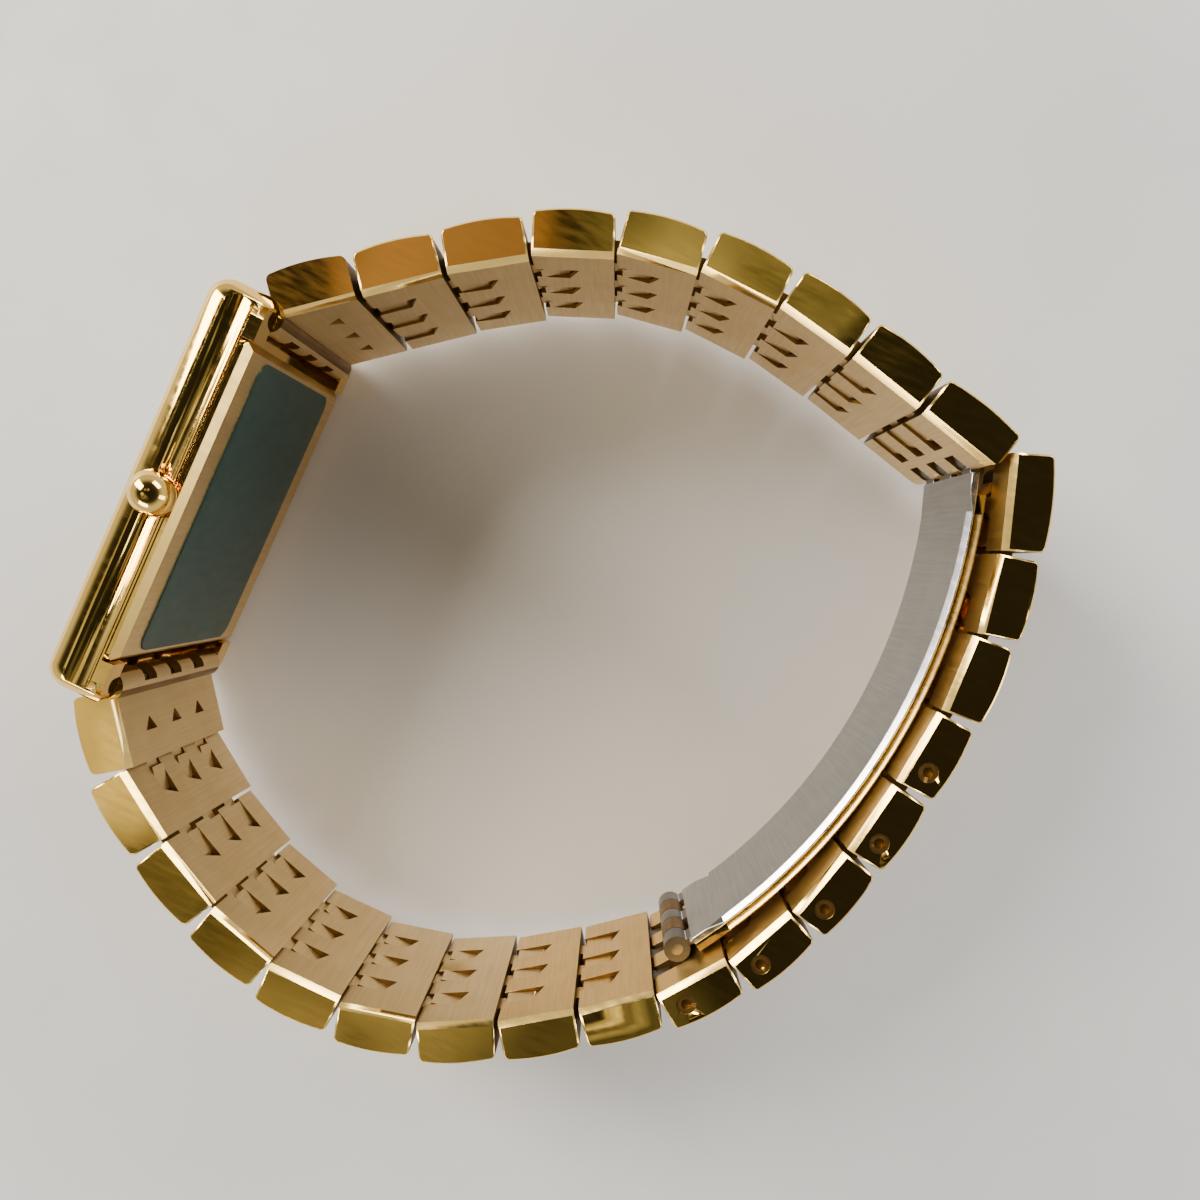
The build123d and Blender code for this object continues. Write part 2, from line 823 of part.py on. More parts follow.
def middle_case():
    """The case band with its lugs, dial seat, cavity, back seat and stem bore."""
    back_lug_x = back_x - lug_corner_radius
    back_lug_y = case_length / 2 - lug_corner_radius
    with BuildPart() as case:
        rounded_plate(bezel_back_x, back_x, case_length, case_width, case_corner_radius)
        with BuildSketch(mid_plane):
            with Locations(((bezel_back_x + back_lug_x) / 2, 0)):
                Rectangle(back_lug_x - bezel_back_x, case_length)
            with Locations((back_lug_x, 0)):
                Rectangle(2 * lug_corner_radius, 2 * back_lug_y)
            with Locations((back_lug_x, back_lug_y), (back_lug_x, -back_lug_y)):
                Circle(lug_corner_radius)
        extrude(amount=case_width, both=True, mode=Mode.INTERSECT)
        rounded_plate(
            bezel_back_x - overrun, back_x + overrun, cavity_length, cavity_width,
            cavity_corner_radius, Mode.SUBTRACT,
        )
        rounded_plate(
            bezel_back_x - overrun, dial_back_x, dial_length + 2 * seat_gap, dial_width + 2 * seat_gap,
            dial_corner_radius, Mode.SUBTRACT,
        )
        with BuildSketch(dial_plane(back_seat_x)):
            Rectangle(case_width + overrun, back_plate_length + 2 * seat_gap)
        extrude(amount=-back_plate_thickness - overrun, mode=Mode.SUBTRACT)
        for side in (1, -1):
            cut_lug_notch(side)
        with BuildSketch(dial_plane(back_seat_x)):
            seal_outline(0)
        extrude(amount=seal_groove_depth, mode=Mode.SUBTRACT)
        with BuildSketch(mid_plane):
            with Locations((stem_x, 0)):
                Circle(tube_radius + press_gap)
        extrude(amount=case_width, mode=Mode.SUBTRACT)
        with BuildSketch(Plane.XZ):
            with Locations((hollow_x, case_width + hollow_radius - hollow_depth)):
                Circle(hollow_radius)
            with Locations((back_seat_x - side_groove_back, case_width)):
                Rectangle(side_groove_width, 2 * side_groove_depth)
        extrude(amount=case_length, both=True, mode=Mode.SUBTRACT)
    write(case, "middle_case")


def seal_outline(gap):
    """Outline of the back seal's groove, or of the seal with a gap to the groove's walls."""
    reach = 2 * (seal_wall + seal_groove_width - gap)
    wall = 2 * (seal_groove_width - 2 * gap)
    corner = cavity_corner_radius + seal_wall + seal_groove_width - gap
    RectangleRounded(cavity_width + reach, cavity_length + reach, corner)
    RectangleRounded(
        cavity_width + reach - wall, cavity_length + reach - wall, corner - wall / 2, mode=Mode.SUBTRACT
    )


def cut_lug_notch(side):
    """Room between two lugs for the end link, and the bar's holes."""
    notch_depth = back_x - notch_front_x + overrun
    notch_height = case_length / 2 - notch_floor_y + overrun
    with BuildSketch(mid_plane) as outline:
        with Locations((notch_front_x + notch_depth / 2, side * (notch_floor_y + notch_height / 2))):
            Rectangle(notch_depth, notch_height)
    extrude(outline.sketch, amount=bracelet_width / 2 + lug_play, both=True, mode=Mode.SUBTRACT)
    with BuildSketch(mid_plane) as outline:
        with Locations((lug_hinge_x, side * lug_hinge_y)):
            Circle(bar_tip_radius + press_gap)
    tip_reach = (bracelet_width - bar_shoulder_gap) / 2 + bar_tip_length + seat_gap
    extrude(outline.sketch, amount=tip_reach, both=True, mode=Mode.SUBTRACT)


def bezel():
    """The rounded front frame with the crystal's seat."""
    with BuildPart() as frame:
        rounded_plate(front_x, bezel_back_x, case_length, case_width, case_corner_radius)
        fillet(frame.faces().sort_by(Axis.X)[0].edges(), bezel_edge_radius)
        rounded_plate(
            front_x - overrun, bezel_back_x + overrun, aperture_length, aperture_width,
            aperture_corner_radius, Mode.SUBTRACT,
        )
        rounded_plate(
            front_x - overrun, ledge_x, aperture_length + 2 * crystal_margin,
            aperture_width + 2 * crystal_margin, aperture_corner_radius + crystal_margin, Mode.SUBTRACT,
        )
    write(frame, "bezel")


def crystal():
    """The flat crystal with a bevelled front edge."""
    margin = crystal_margin - seat_gap
    with BuildPart() as glass:
        rounded_plate(
            crystal_front_x, crystal_back_x, aperture_length + 2 * margin, aperture_width + 2 * margin,
            aperture_corner_radius + margin,
        )
        chamfer(glass.faces().sort_by(Axis.X)[0].edges(), crystal_edge_bevel)
    write(glass, "crystal")


def frame_ring(label, front, back, length, width, radius, wall):
    """A flat closed frame parallel to the dial."""
    with BuildPart() as ring:
        with BuildSketch(dial_plane(back)):
            RectangleRounded(width, length, radius)
            RectangleRounded(width - 2 * wall, length - 2 * wall, radius - wall, mode=Mode.SUBTRACT)
        extrude(amount=back - front)
    write(ring, label)


def crystal_gasket():
    """The seal under the crystal's edge."""
    margin = crystal_margin - seat_gap
    frame_ring(
        "crystal_gasket", crystal_back_x, ledge_x, aperture_length + 2 * margin, aperture_width + 2 * margin,
        aperture_corner_radius + margin, gasket_width,
    )


def dial():
    """The dial plate with its centre hole."""
    with BuildPart() as plate:
        rounded_plate(dial_front_x, dial_back_x, dial_length, dial_width, dial_corner_radius)
        with BuildSketch(dial_plane(dial_back_x)):
            Circle(dial_hole_radius)
        extrude(amount=dial_thickness, mode=Mode.SUBTRACT)
    write(plate, "dial")


def marker_spot(turn):
    """Middle of a marker on the rectangle of markers, at a clockwise turn from 12, in degrees."""
    right = sin(radians(turn))
    up = cos(radians(turn))
    reach = 1 / max(2 * abs(right) / marker_ring_width, 2 * abs(up) / marker_ring_length)
    return right * reach, up * reach


def hour_markers():
    """Twelve plain batons, each pointing at the centre."""
    with BuildPart() as batons:
        with BuildSketch(dial_plane(dial_front_x)):
            for hour in range(marker_count):
                turn = 360 * hour / marker_count
                with Locations(Location((*marker_spot(turn), 0), (0, 0, -turn))):
                    Rectangle(marker_width, marker_length)
        extrude(amount=marker_height)
    write(batons, "hour_markers")


def hand(label, back, length, width, turn, tube_outer, tube_bore, tube_back):
    """A tapered hand with its tube, turned clockwise from 12 by turn degrees."""
    tip = width * hand_tip_share
    with BuildPart() as piece:
        with BuildSketch(dial_plane(back, turn)):
            with BuildLine():
                Polyline(
                    (-width / 2, -hand_tail_length),
                    (width / 2, -hand_tail_length),
                    (tip / 2, length),
                    (-tip / 2, length),
                    close=True,
                )
            make_face()
            Circle(hand_boss_radius)
        extrude(amount=hand_thickness)
        with BuildSketch(dial_plane(tube_back)):
            Circle(tube_outer)
        extrude(amount=tube_back - back)
        with BuildSketch(dial_plane(tube_back)):
            Circle(tube_bore)
        extrude(amount=tube_back - back + hand_thickness, mode=Mode.SUBTRACT)
    write(piece, label)


def hand_post():
    """The fixed post that both hands turn on."""
    post_back_x = movement_front_x + post_seat_depth
    with BuildPart() as post:
        with BuildSketch(dial_plane(post_back_x)):
            Circle(post_radius)
        extrude(amount=post_back_x - minute_hand_front_x)
    write(post, "hand_post")


def movement():
    """The quartz movement's main plate with room for the battery, the board, the stem and the post."""
    battery_front_x = movement_back_x - battery_thickness
    with BuildPart() as plate:
        rounded_plate(
            movement_front_x, movement_back_x, movement_length, movement_width, movement_corner_radius
        )
        with BuildSketch(dial_plane(battery_front_x)):
            with Locations((battery_z_offset, battery_y)):
                Circle(battery_radius + seat_gap)
        extrude(amount=-battery_thickness - overrun, mode=Mode.SUBTRACT)
        with BuildSketch(dial_plane(movement_back_x)):
            with Locations((0, coil_y)):
                Rectangle(coil_length + 2 * seat_gap, 2 * (coil_radius + seat_gap))
        extrude(amount=coil_radius + seat_gap, mode=Mode.SUBTRACT)
        with BuildSketch(mid_plane):
            with Locations((stem_x, 0)):
                Circle(stem_radius + running_gap)
        extrude(amount=movement_width, mode=Mode.SUBTRACT)
        with BuildSketch(dial_plane(movement_front_x)):
            Circle(hour_tube_radius + running_gap)
        extrude(amount=-pinion_seat_depth, mode=Mode.SUBTRACT)
        with BuildSketch(dial_plane(movement_front_x)):
            Circle(post_radius + press_gap)
        extrude(amount=-post_seat_depth, mode=Mode.SUBTRACT)
    write(plate, "movement_plate")


def movement_holder():
    """The frame that centres the movement in the case."""
    length = cavity_length - 2 * seat_gap
    width = cavity_width - 2 * seat_gap
    with BuildPart() as holder:
        rounded_plate(
            movement_front_x, movement_back_x + holder_rise, length, width, cavity_corner_radius
        )
        rounded_plate(
            movement_front_x - overrun, movement_back_x + overrun, movement_length + 2 * seat_gap,
            movement_width + 2 * seat_gap, movement_corner_radius, Mode.SUBTRACT,
        )
        with BuildSketch(mid_plane):
            with Locations((stem_x, 0)):
                Circle(stem_radius + running_gap)
        extrude(amount=case_width, mode=Mode.SUBTRACT)
    write(holder, "movement_holder")


def battery():
    """The round button cell, its narrow face towards the case back."""
    front = movement_back_x - battery_thickness
    with BuildPart() as cell:
        with BuildSketch(dial_plane(front)):
            with Locations((battery_z_offset, battery_y)):
                Circle(battery_radius)
        extrude(amount=battery_step - battery_thickness)
        with BuildSketch(dial_plane(movement_back_x)):
            with Locations((battery_z_offset, battery_y)):
                Circle(battery_step_radius)
        extrude(amount=battery_step)
    write(cell, "battery")


def battery_strap():
    """The flat spring strip that holds the battery."""
    with BuildPart() as strap:
        with BuildSketch(dial_plane(movement_back_x + strap_thickness)):
            with Locations((battery_z_offset, battery_y)):
                SlotOverall(strap_length, strap_width)
        extrude(amount=strap_thickness)
    write(strap, "battery_strap")


def circuit_board():
    """The thin board over the movement's 12 o'clock half, with a coil below and a chip on top."""
    board_back_x = movement_back_x + board_thickness
    with BuildPart() as board:
        rounded = dial_plane(board_back_x)
        with BuildSketch(rounded):
            with Locations((0, board_y)):
                RectangleRounded(board_width, board_length, board_corner_radius)
        extrude(amount=board_thickness)
        with BuildSketch(dial_plane(movement_back_x)):
            with Locations((0, coil_y)):
                Rectangle(coil_length, 2 * coil_radius)
        extrude(amount=coil_radius)
        with BuildSketch(rounded):
            with Locations((0, chip_y)):
                Rectangle(chip_side, chip_side)
        extrude(amount=-chip_height)
    write(board, "circuit_board")


def case_back():
    """The flat case back, full width between the lugs, with a lip into the cavity."""
    with BuildPart() as plate:
        rounded_plate(
            back_seat_x, back_x, back_plate_length, case_width - 2 * back_plate_inset,
            back_plate_corner_radius,
        )
        chamfer(plate.faces().sort_by(Axis.X)[-1].edges(), back_plate_bevel)
        with BuildSketch(dial_plane(back_seat_x)):
            RectangleRounded(
                cavity_width - 2 * seat_gap, cavity_length - 2 * seat_gap, cavity_corner_radius
            )
            RectangleRounded(
                cavity_width - 2 * back_lip_wall, cavity_length - 2 * back_lip_wall,
                cavity_corner_radius / 2, mode=Mode.SUBTRACT,
            )
        extrude(amount=back_lip_depth)
    write(plate, "case_back")


def back_gasket():
    """The seal in the groove under the case back."""
    with BuildPart() as seal:
        with BuildSketch(dial_plane(back_seat_x)):
            seal_outline(seat_gap)
        extrude(amount=seal_groove_depth - seat_gap)
    write(seal, "back_gasket")


def back_film():
    """The thin film stuck on the case back."""
    with BuildPart() as film:
        rounded_plate(back_x, back_x + film_thickness, film_length, film_width, film_corner_radius)
    write(film, "back_film")


def crown_tube():
    """The tube that guides the stem through the case wall."""
    with BuildPart() as tube:
        with BuildSketch(Plane.XY.offset(case_width - tube_length)):
            with Locations((stem_x, 0)):
                Circle(tube_radius)
                Circle(stem_radius + running_gap, mode=Mode.SUBTRACT)
        extrude(amount=tube_length + tube_stand)
    write(tube, "crown_tube")


def stem():
    """The plain winding stem, from the movement into the crown."""
    with BuildPart() as rod:
        with BuildSketch(Plane.XY.offset(stem_inner_z)):
            with Locations((stem_x, 0)):
                Circle(stem_radius)
        extrude(amount=crown_foot_z + crown_stem_depth - seat_gap - stem_inner_z)
    write(rod, "stem")


def crown():
    """The polished ball crown on its collar, bored for the tube and the stem."""
    foot_half = sqrt(crown_radius**2 - (crown_ball_rise - crown_collar_height) ** 2)
    section = Plane(origin=(stem_x, 0, crown_foot_z), x_dir=(1, 0, 0), z_dir=(0, -1, 0))
    with BuildPart() as knob:
        with BuildSketch(section):
            with BuildLine():
                Polyline(
                    (0, crown_ball_rise + crown_radius),
                    (0, crown_stem_depth),
                    (stem_radius + running_gap, crown_stem_depth),
                    (stem_radius + running_gap, crown_bore_depth),
                    (tube_radius + running_gap, crown_bore_depth),
                    (tube_radius + running_gap, 0),
                    (crown_collar_radius, 0),
                    (crown_collar_radius, crown_collar_height),
                    (foot_half, crown_collar_height),
                )
                ThreePointArc(
                    (foot_half, crown_collar_height),
                    (crown_radius, crown_ball_rise),
                    (0, crown_ball_rise + crown_radius),
                )
            make_face()
        revolve(axis=Axis((stem_x, 0, 0), (0, 0, 1)))
    write(knob, "crown")


middle_case()
bezel()
crystal()
crystal_gasket()
dial()
hour_markers()
hand_post()
hand(
    "hour_hand", hour_hand_back_x, hour_hand_length, hour_hand_width, hours_turn,
    hour_tube_radius, minute_tube_radius + running_gap, movement_front_x + hour_tube_seat,
)
hand(
    "minute_hand", minute_hand_back_x, minute_hand_length, minute_hand_width, minutes_turn,
    minute_tube_radius, post_radius + running_gap, movement_front_x + minute_tube_seat,
)
movement()
movement_holder()
battery()
battery_strap()
circuit_board()
case_back()
back_gasket()
back_film()
crown_tube()
stem()
crown()
spring_bar("spring_bar_twelve", 1)
spring_bar("spring_bar_six", -1)

end_link("link_12_1", twelve_planes[0])
for number, plane in enumerate(twelve_planes[1:-1], start=2):
    standard_link(f"link_12_{number}", plane)
finger_link(f"link_12_{len(twelve_planes)}", twelve_planes[-1])

end_link("link_6_1", six_planes[0])
for number, plane in enumerate(six_planes[1:-1], start=2):
    standard_link(f"link_6_{number}", plane)
joining_link(f"link_6_{len(six_planes)}", "joining_tongues", six_planes[-1])

for step, plane in enumerate(cover_planes[1:-1], start=1):
    number = len(cover_planes) - step
    standard_link(f"cover_{number}", plane, recessed=number >= first_recessed_cover)
open_cover_link(f"cover_{len(cover_planes)}", cover_planes[0])
top_cover_link("cover_1", cover_planes[-1])

steel_blade()
gold_blade()
catch_stud()
covered_length = bracelet_width - 2 * (pin_cover + seat_gap)
blade_pin("pin_a", hinge_a, blade_pin_radius, covered_length)
blade_pin("pin_b", hinge_b, blade_pin_radius, 2 * slot_spacing + tongue_width)
blade_pin("pin_c", hinge_c, knuckle_c_pin_radius, covered_length)
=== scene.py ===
import bmesh
import bpy
import json
from math import cos, pi, radians, sin, sqrt
from mathutils import Matrix, Vector


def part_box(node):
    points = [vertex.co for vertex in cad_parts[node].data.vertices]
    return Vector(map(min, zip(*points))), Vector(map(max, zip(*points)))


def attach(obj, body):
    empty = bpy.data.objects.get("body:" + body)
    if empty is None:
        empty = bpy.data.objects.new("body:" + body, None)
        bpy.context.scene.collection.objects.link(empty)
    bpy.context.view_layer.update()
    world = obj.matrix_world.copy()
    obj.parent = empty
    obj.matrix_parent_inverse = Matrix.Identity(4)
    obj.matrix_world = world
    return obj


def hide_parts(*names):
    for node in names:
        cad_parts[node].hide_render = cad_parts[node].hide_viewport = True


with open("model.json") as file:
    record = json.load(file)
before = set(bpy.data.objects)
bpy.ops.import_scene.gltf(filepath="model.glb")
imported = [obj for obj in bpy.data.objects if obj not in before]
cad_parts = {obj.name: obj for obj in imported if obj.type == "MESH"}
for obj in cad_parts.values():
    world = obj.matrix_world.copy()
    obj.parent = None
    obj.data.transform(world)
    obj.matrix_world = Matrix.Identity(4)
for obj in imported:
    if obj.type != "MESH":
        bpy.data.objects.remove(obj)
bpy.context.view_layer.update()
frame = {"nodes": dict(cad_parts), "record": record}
nodes = frame["nodes"]
bodies = frame["record"]["behaviour"]["bodies"]
BODY_OF = {node: body for body, members in bodies.items() for node in members}

# Shapes are worked on in millimetres, and everything else is in metres
MM = 0.001
PER_MM = 1 / MM

# The photograph's frame, in pixels of its 1200 x 1200 image
PHOTO_SIDE_PX = 1200
FOCAL_PX = 1200
PRINCIPAL_PX = (600, 700)
WIDTH_VANISH_PX = (619, 565)

# The camera looks down the watch's width: where it stands, and where 12 o'clock points in the picture
CAMERA_SPOT = Vector((29.0, 8.8, 101.5)) * MM
TWELVE_TURN = 64.25
SENSOR_WIDTH = 36.0
CAMERA_CLIP = (5 * MM, 5.0)


def camera_axes():
    """The watch's X, Y and Z axes as the camera sees them: x right, y down, z forwards."""
    down_width = Vector((
        (WIDTH_VANISH_PX[0] - PRINCIPAL_PX[0]) / FOCAL_PX,
        (WIDTH_VANISH_PX[1] - PRINCIPAL_PX[1]) / FOCAL_PX,
        1,
    )).normalized()
    right = Vector((1, 0, 0))
    right = (right - down_width * right.dot(down_width)).normalized()
    up = -down_width.cross(right)
    turn = radians(TWELVE_TURN)
    twelve = right * cos(turn) + up * sin(turn)
    wrist = right * sin(turn) - up * cos(turn)
    return wrist, twelve, -down_width


def make_camera():
    """A camera with the photograph's view, its picture shifted as the photograph was cropped."""
    data = bpy.data.cameras.new("photo_camera")
    data.sensor_width = SENSOR_WIDTH
    data.lens = SENSOR_WIDTH * FOCAL_PX / PHOTO_SIDE_PX
    data.shift_x = (PHOTO_SIDE_PX / 2 - PRINCIPAL_PX[0]) / PHOTO_SIDE_PX
    data.shift_y = (PRINCIPAL_PX[1] - PHOTO_SIDE_PX / 2) / PHOTO_SIDE_PX
    data.clip_start, data.clip_end = CAMERA_CLIP
    camera = bpy.data.objects.new("photo_camera", data)
    turned = Matrix([(axis.x, -axis.y, -axis.z) for axis in camera_axes()]).to_4x4()
    camera.matrix_world = Matrix.Translation(CAMERA_SPOT) @ turned
    bpy.context.scene.collection.objects.link(camera)
    bpy.context.scene.camera = camera


# The surround: dark overhead and pale round the horizon, by the height of the direction, and a little warm
SURROUND_STEPS = ((0.0, 0.80), (0.34, 0.78), (0.52, 0.40), (0.66, 0.07), (0.80, 0.03), (1.0, 0.02))
SURROUND_BLUE_SHARE = 0.98

# Patches overhead, which the polished sides mirror: direction, cosines of the full and the fading rim, colour
PATCHES = (
    ((-0.24, 0.15, 0.96), 0.99535, 0.99485, (0.34, 0.21, 0.13)),
    ((-0.02, 0.26, 0.96), 0.99480, 0.99280, (0.36, 0.37, 0.27)),
    ((-0.33, -0.25, 0.91), 0.99250, 0.98950, (0.62, 0.58, 0.42)),
    ((-0.20, -0.38, 0.90), 0.98500, 0.95500, (0.19, 0.18, 0.13)),
    ((0.06, -0.42, 0.90), 0.99400, 0.97000, (0.10, 0.10, 0.07)),
)

# Clouds in the patches: size, and how dark and how bright they get
SURROUND_MOTTLE = (12.0, 0.35, 1.45)


def patch_light(tree, direction, colour, patch):
    """Adds one soft patch to the surround's colour."""
    toward, full, rim, tint = patch
    near = tree.nodes.new("ShaderNodeVectorMath")
    near.operation = "DOT_PRODUCT"
    near.inputs[1].default_value = Vector(toward).normalized()
    tree.links.new(direction, near.inputs[0])
    shape = tree.nodes.new("ShaderNodeMapRange")
    shape.interpolation_type = "SMOOTHSTEP"
    shape.inputs["From Min"].default_value = rim
    shape.inputs["From Max"].default_value = full
    tree.links.new(near.outputs["Value"], shape.inputs["Value"])
    added = tree.nodes.new("ShaderNodeVectorMath")
    added.operation = "MULTIPLY_ADD"
    added.inputs[1].default_value = tint
    tree.links.new(shape.outputs["Result"], added.inputs[0])
    tree.links.new(colour, added.inputs[2])
    return added.outputs["Vector"]


def make_surround():
    """What the polished metal mirrors where no lamp or floor is."""
    world = bpy.data.worlds.new("studio")
    bpy.context.scene.world = world
    world.use_nodes = True
    tree = world.node_tree
    direction = tree.nodes.new("ShaderNodeTexCoord").outputs["Generated"]
    axes = tree.nodes.new("ShaderNodeSeparateXYZ")
    tree.links.new(direction, axes.inputs["Vector"])
    steps = tree.nodes.new("ShaderNodeValToRGB")
    ramp = steps.color_ramp
    while len(ramp.elements) < len(SURROUND_STEPS):
        ramp.elements.new(0.5)
    for element, (height, level) in zip(ramp.elements, SURROUND_STEPS):
        element.position = height
        element.color = (level, level, level * SURROUND_BLUE_SHARE, 1)
    tree.links.new(axes.outputs["Z"], steps.inputs["Fac"])
    patches = tree.nodes.new("ShaderNodeCombineXYZ").outputs["Vector"]
    for patch in PATCHES:
        patches = patch_light(tree, direction, patches, patch)
    size, dark, bright = SURROUND_MOTTLE
    uneven = tree.nodes.new("ShaderNodeVectorMath")
    uneven.operation = "SCALE"
    tree.links.new(patches, uneven.inputs[0])
    tree.links.new(spread(tree, noise(tree, direction, size, 1.0), dark, bright), uneven.inputs["Scale"])
    whole = tree.nodes.new("ShaderNodeVectorMath")
    whole.operation = "ADD"
    tree.links.new(steps.outputs["Color"], whole.inputs[0])
    tree.links.new(uneven.outputs["Vector"], whole.inputs[1])
    tree.links.new(whole.outputs["Vector"], tree.nodes["Background"].inputs["Color"])


def area_light(name, place, target, size, power, colour):
    """A soft rectangular light at a place in metres, turned to a target."""
    data = bpy.data.lights.new(name, "AREA")
    data.shape = "RECTANGLE"
    data.size, data.size_y = size
    data.energy = power
    data.color = colour
    light = bpy.data.objects.new(name, data)
    light.location = place
    light.rotation_mode = "QUATERNION"
    light.rotation_quaternion = (Vector(target) - Vector(place)).to_track_quat("-Z", "Y")
    bpy.context.scene.collection.objects.link(light)


# Lights: place from the watch's middle, size, power and colour
WATCH_MIDDLE = Vector((0.028, 0.0, 0.010))
LIGHTS = {
    "key": ((-0.40, 0.10, 0.27), (0.18, 0.40), 5.0, (1.0, 0.93, 0.80)),
    "top": ((0.10, 0.38, 0.24), (0.30, 0.14), 1.8, (1.0, 0.97, 0.92)),
    "low": ((-0.06, -0.40, 0.22), (0.30, 0.12), 1.4, (1.0, 0.96, 0.90)),
    "far": ((0.40, 0.04, 0.16), (0.12, 0.24), 0.6, (0.94, 0.96, 1.0)),
}
FLOOR_HALF = 1.2
FLOOR_DROP = 0.05 * MM


def make_studio():
    """A plain pale floor and soft area lights."""
    for name, (place, size, power, colour) in LIGHTS.items():
        area_light(name, WATCH_MIDDLE + Vector(place), WATCH_MIDDLE, size, power, colour)
    mesh = bpy.data.meshes.new("floor")
    corners = [(-FLOOR_HALF, -FLOOR_HALF, 0), (FLOOR_HALF, -FLOOR_HALF, 0),
               (FLOOR_HALF, FLOOR_HALF, 0), (-FLOOR_HALF, FLOOR_HALF, 0)]
    mesh.from_pydata(corners, [], [(0, 1, 2, 3)])
    mesh.materials.append(floor_material())
    floor = bpy.data.objects.new("floor", mesh)
    floor.location = (0, 0, -FLOOR_DROP)
    bpy.context.scene.collection.objects.link(floor)


def new_material(name):
    """A material with an empty node tree and its output."""
    material = bpy.data.materials.new(name)
    material.use_nodes = True
    tree = material.node_tree
    tree.nodes.clear()
    output = tree.nodes.new("ShaderNodeOutputMaterial")
    shader = tree.nodes.new("ShaderNodeBsdfPrincipled")
    tree.links.new(shader.outputs["BSDF"], output.inputs["Surface"])
    return material, tree, shader


def object_place(tree, scale):
    """Coordinates on the piece at rest, in metres, times a scale on each axis."""
    coordinates = tree.nodes.new("ShaderNodeTexCoord")
    mapping = tree.nodes.new("ShaderNodeMapping")
    mapping.inputs["Scale"].default_value = scale
    tree.links.new(coordinates.outputs["Object"], mapping.inputs["Vector"])
    return mapping.outputs["Vector"]


# Stretches of a noise that are spread over a range, and where a colour starts and ends its change
NOISE_MIDDLE = (0.35, 0.65)
NOISE_WHOLE = (0.2, 0.8)
COLOUR_STOPS = (0.3, 0.7)


def noise(tree, place, size, detail=2.0):
    """Soft noise whose patches are about one unit wide at size 1."""
    node = tree.nodes.new("ShaderNodeTexNoise")
    node.inputs["Scale"].default_value = size
    node.inputs["Detail"].default_value = detail
    tree.links.new(place, node.inputs["Vector"])
    return node.outputs["Fac"]


def spread(tree, value, low, high, span=NOISE_MIDDLE):
    """The value taken from its span to the range low to high."""
    node = tree.nodes.new("ShaderNodeMapRange")
    node.inputs["From Min"].default_value = span[0]
    node.inputs["From Max"].default_value = span[1]
    node.inputs["To Min"].default_value = low
    node.inputs["To Max"].default_value = high
    tree.links.new(value, node.inputs["Value"])
    return node.outputs["Result"]


def mixed_colour(tree, value, colours):
    """A colour between two, by a value from 0 to 1."""
    ramp = tree.nodes.new("ShaderNodeValToRGB")
    for element, stop, colour in zip(ramp.color_ramp.elements, COLOUR_STOPS, colours):
        element.position = stop
        element.color = (*colour, 1)
    tree.links.new(value, ramp.inputs["Fac"])
    return ramp.outputs["Color"]


def relief(tree, shader, height, depth):
    """Relief on the shader's normal, from a height of 0 to 1 and its depth in metres."""
    bump = tree.nodes.new("ShaderNodeBump")
    bump.inputs["Strength"].default_value = 1.0
    bump.inputs["Distance"].default_value = depth
    tree.links.new(height, bump.inputs["Height"])
    tree.links.new(bump.outputs["Normal"], shader.inputs["Normal"])


# Sizes of noise: how many patches or lines lie in a metre, and for marks and lines on each axis
UNSCALED = (1, 1, 1)
METAL_CLOUDS = 260.0
SATIN_CLOUDS = 320.0
WAVES = 150.0
WIPING_MARKS = (500, 2400, 500)
ACROSS_LINES = (5200, 5200, 160)
PLATE_LINES = (400, 400, 3000)

# How much of a brushed colour the lines take, the clouds taking the rest
LINE_SHARE = 0.5

# Depths of relief, in metres
SOFT_WAVE = 0.10 * MM
FAINT_WAVE = 0.03 * MM
SATIN_DEPTH = 0.002 * MM
BLADE_DEPTH = 0.0006 * MM
STEEL_DEPTH = 0.0007 * MM
COVER_DEPTH = 0.0004 * MM
PLATE_DEPTH = 0.003 * MM


def polished(name, colours, roughness, wave=SOFT_WAVE):
    """Polished metal: faint clouds in its colour, fine wiping marks, and a very soft waviness."""
    material, tree, shader = new_material(name)
    shader.inputs["Metallic"].default_value = 1.0
    place = object_place(tree, UNSCALED)
    tree.links.new(mixed_colour(tree, noise(tree, place, METAL_CLOUDS), colours), shader.inputs["Base Color"])
    marks = noise(tree, object_place(tree, WIPING_MARKS), 1.0)
    tree.links.new(spread(tree, marks, *roughness), shader.inputs["Roughness"])
    relief(tree, shader, noise(tree, place, WAVES, 0.0), wave)
    return material


def brushed(name, colours, roughness, depth=SATIN_DEPTH, grain=ACROSS_LINES):
    """Satin metal with fine parallel lines."""
    material, tree, shader = new_material(name)
    shader.inputs["Metallic"].default_value = 1.0
    lines = noise(tree, object_place(tree, grain), 1.0, 1.0)
    clouds = noise(tree, object_place(tree, UNSCALED), SATIN_CLOUDS)
    shade = tree.nodes.new("ShaderNodeMath")
    shade.operation = "MULTIPLY_ADD"
    shade.inputs[1].default_value = LINE_SHARE
    tree.links.new(lines, shade.inputs[0])
    tree.links.new(spread(tree, clouds, 0.0, 1 - LINE_SHARE, NOISE_WHOLE), shade.inputs[2])
    tree.links.new(mixed_colour(tree, shade.outputs["Value"], colours), shader.inputs["Base Color"])
    tree.links.new(spread(tree, lines, *roughness), shader.inputs["Roughness"])
    relief(tree, shader, lines, depth)
    return material


# A plain surface's relief is finer than its patches, and its roughness varies by these shares
FINE_TIMES = 6
ROUGHNESS_SHARES = (0.8, 1.2)


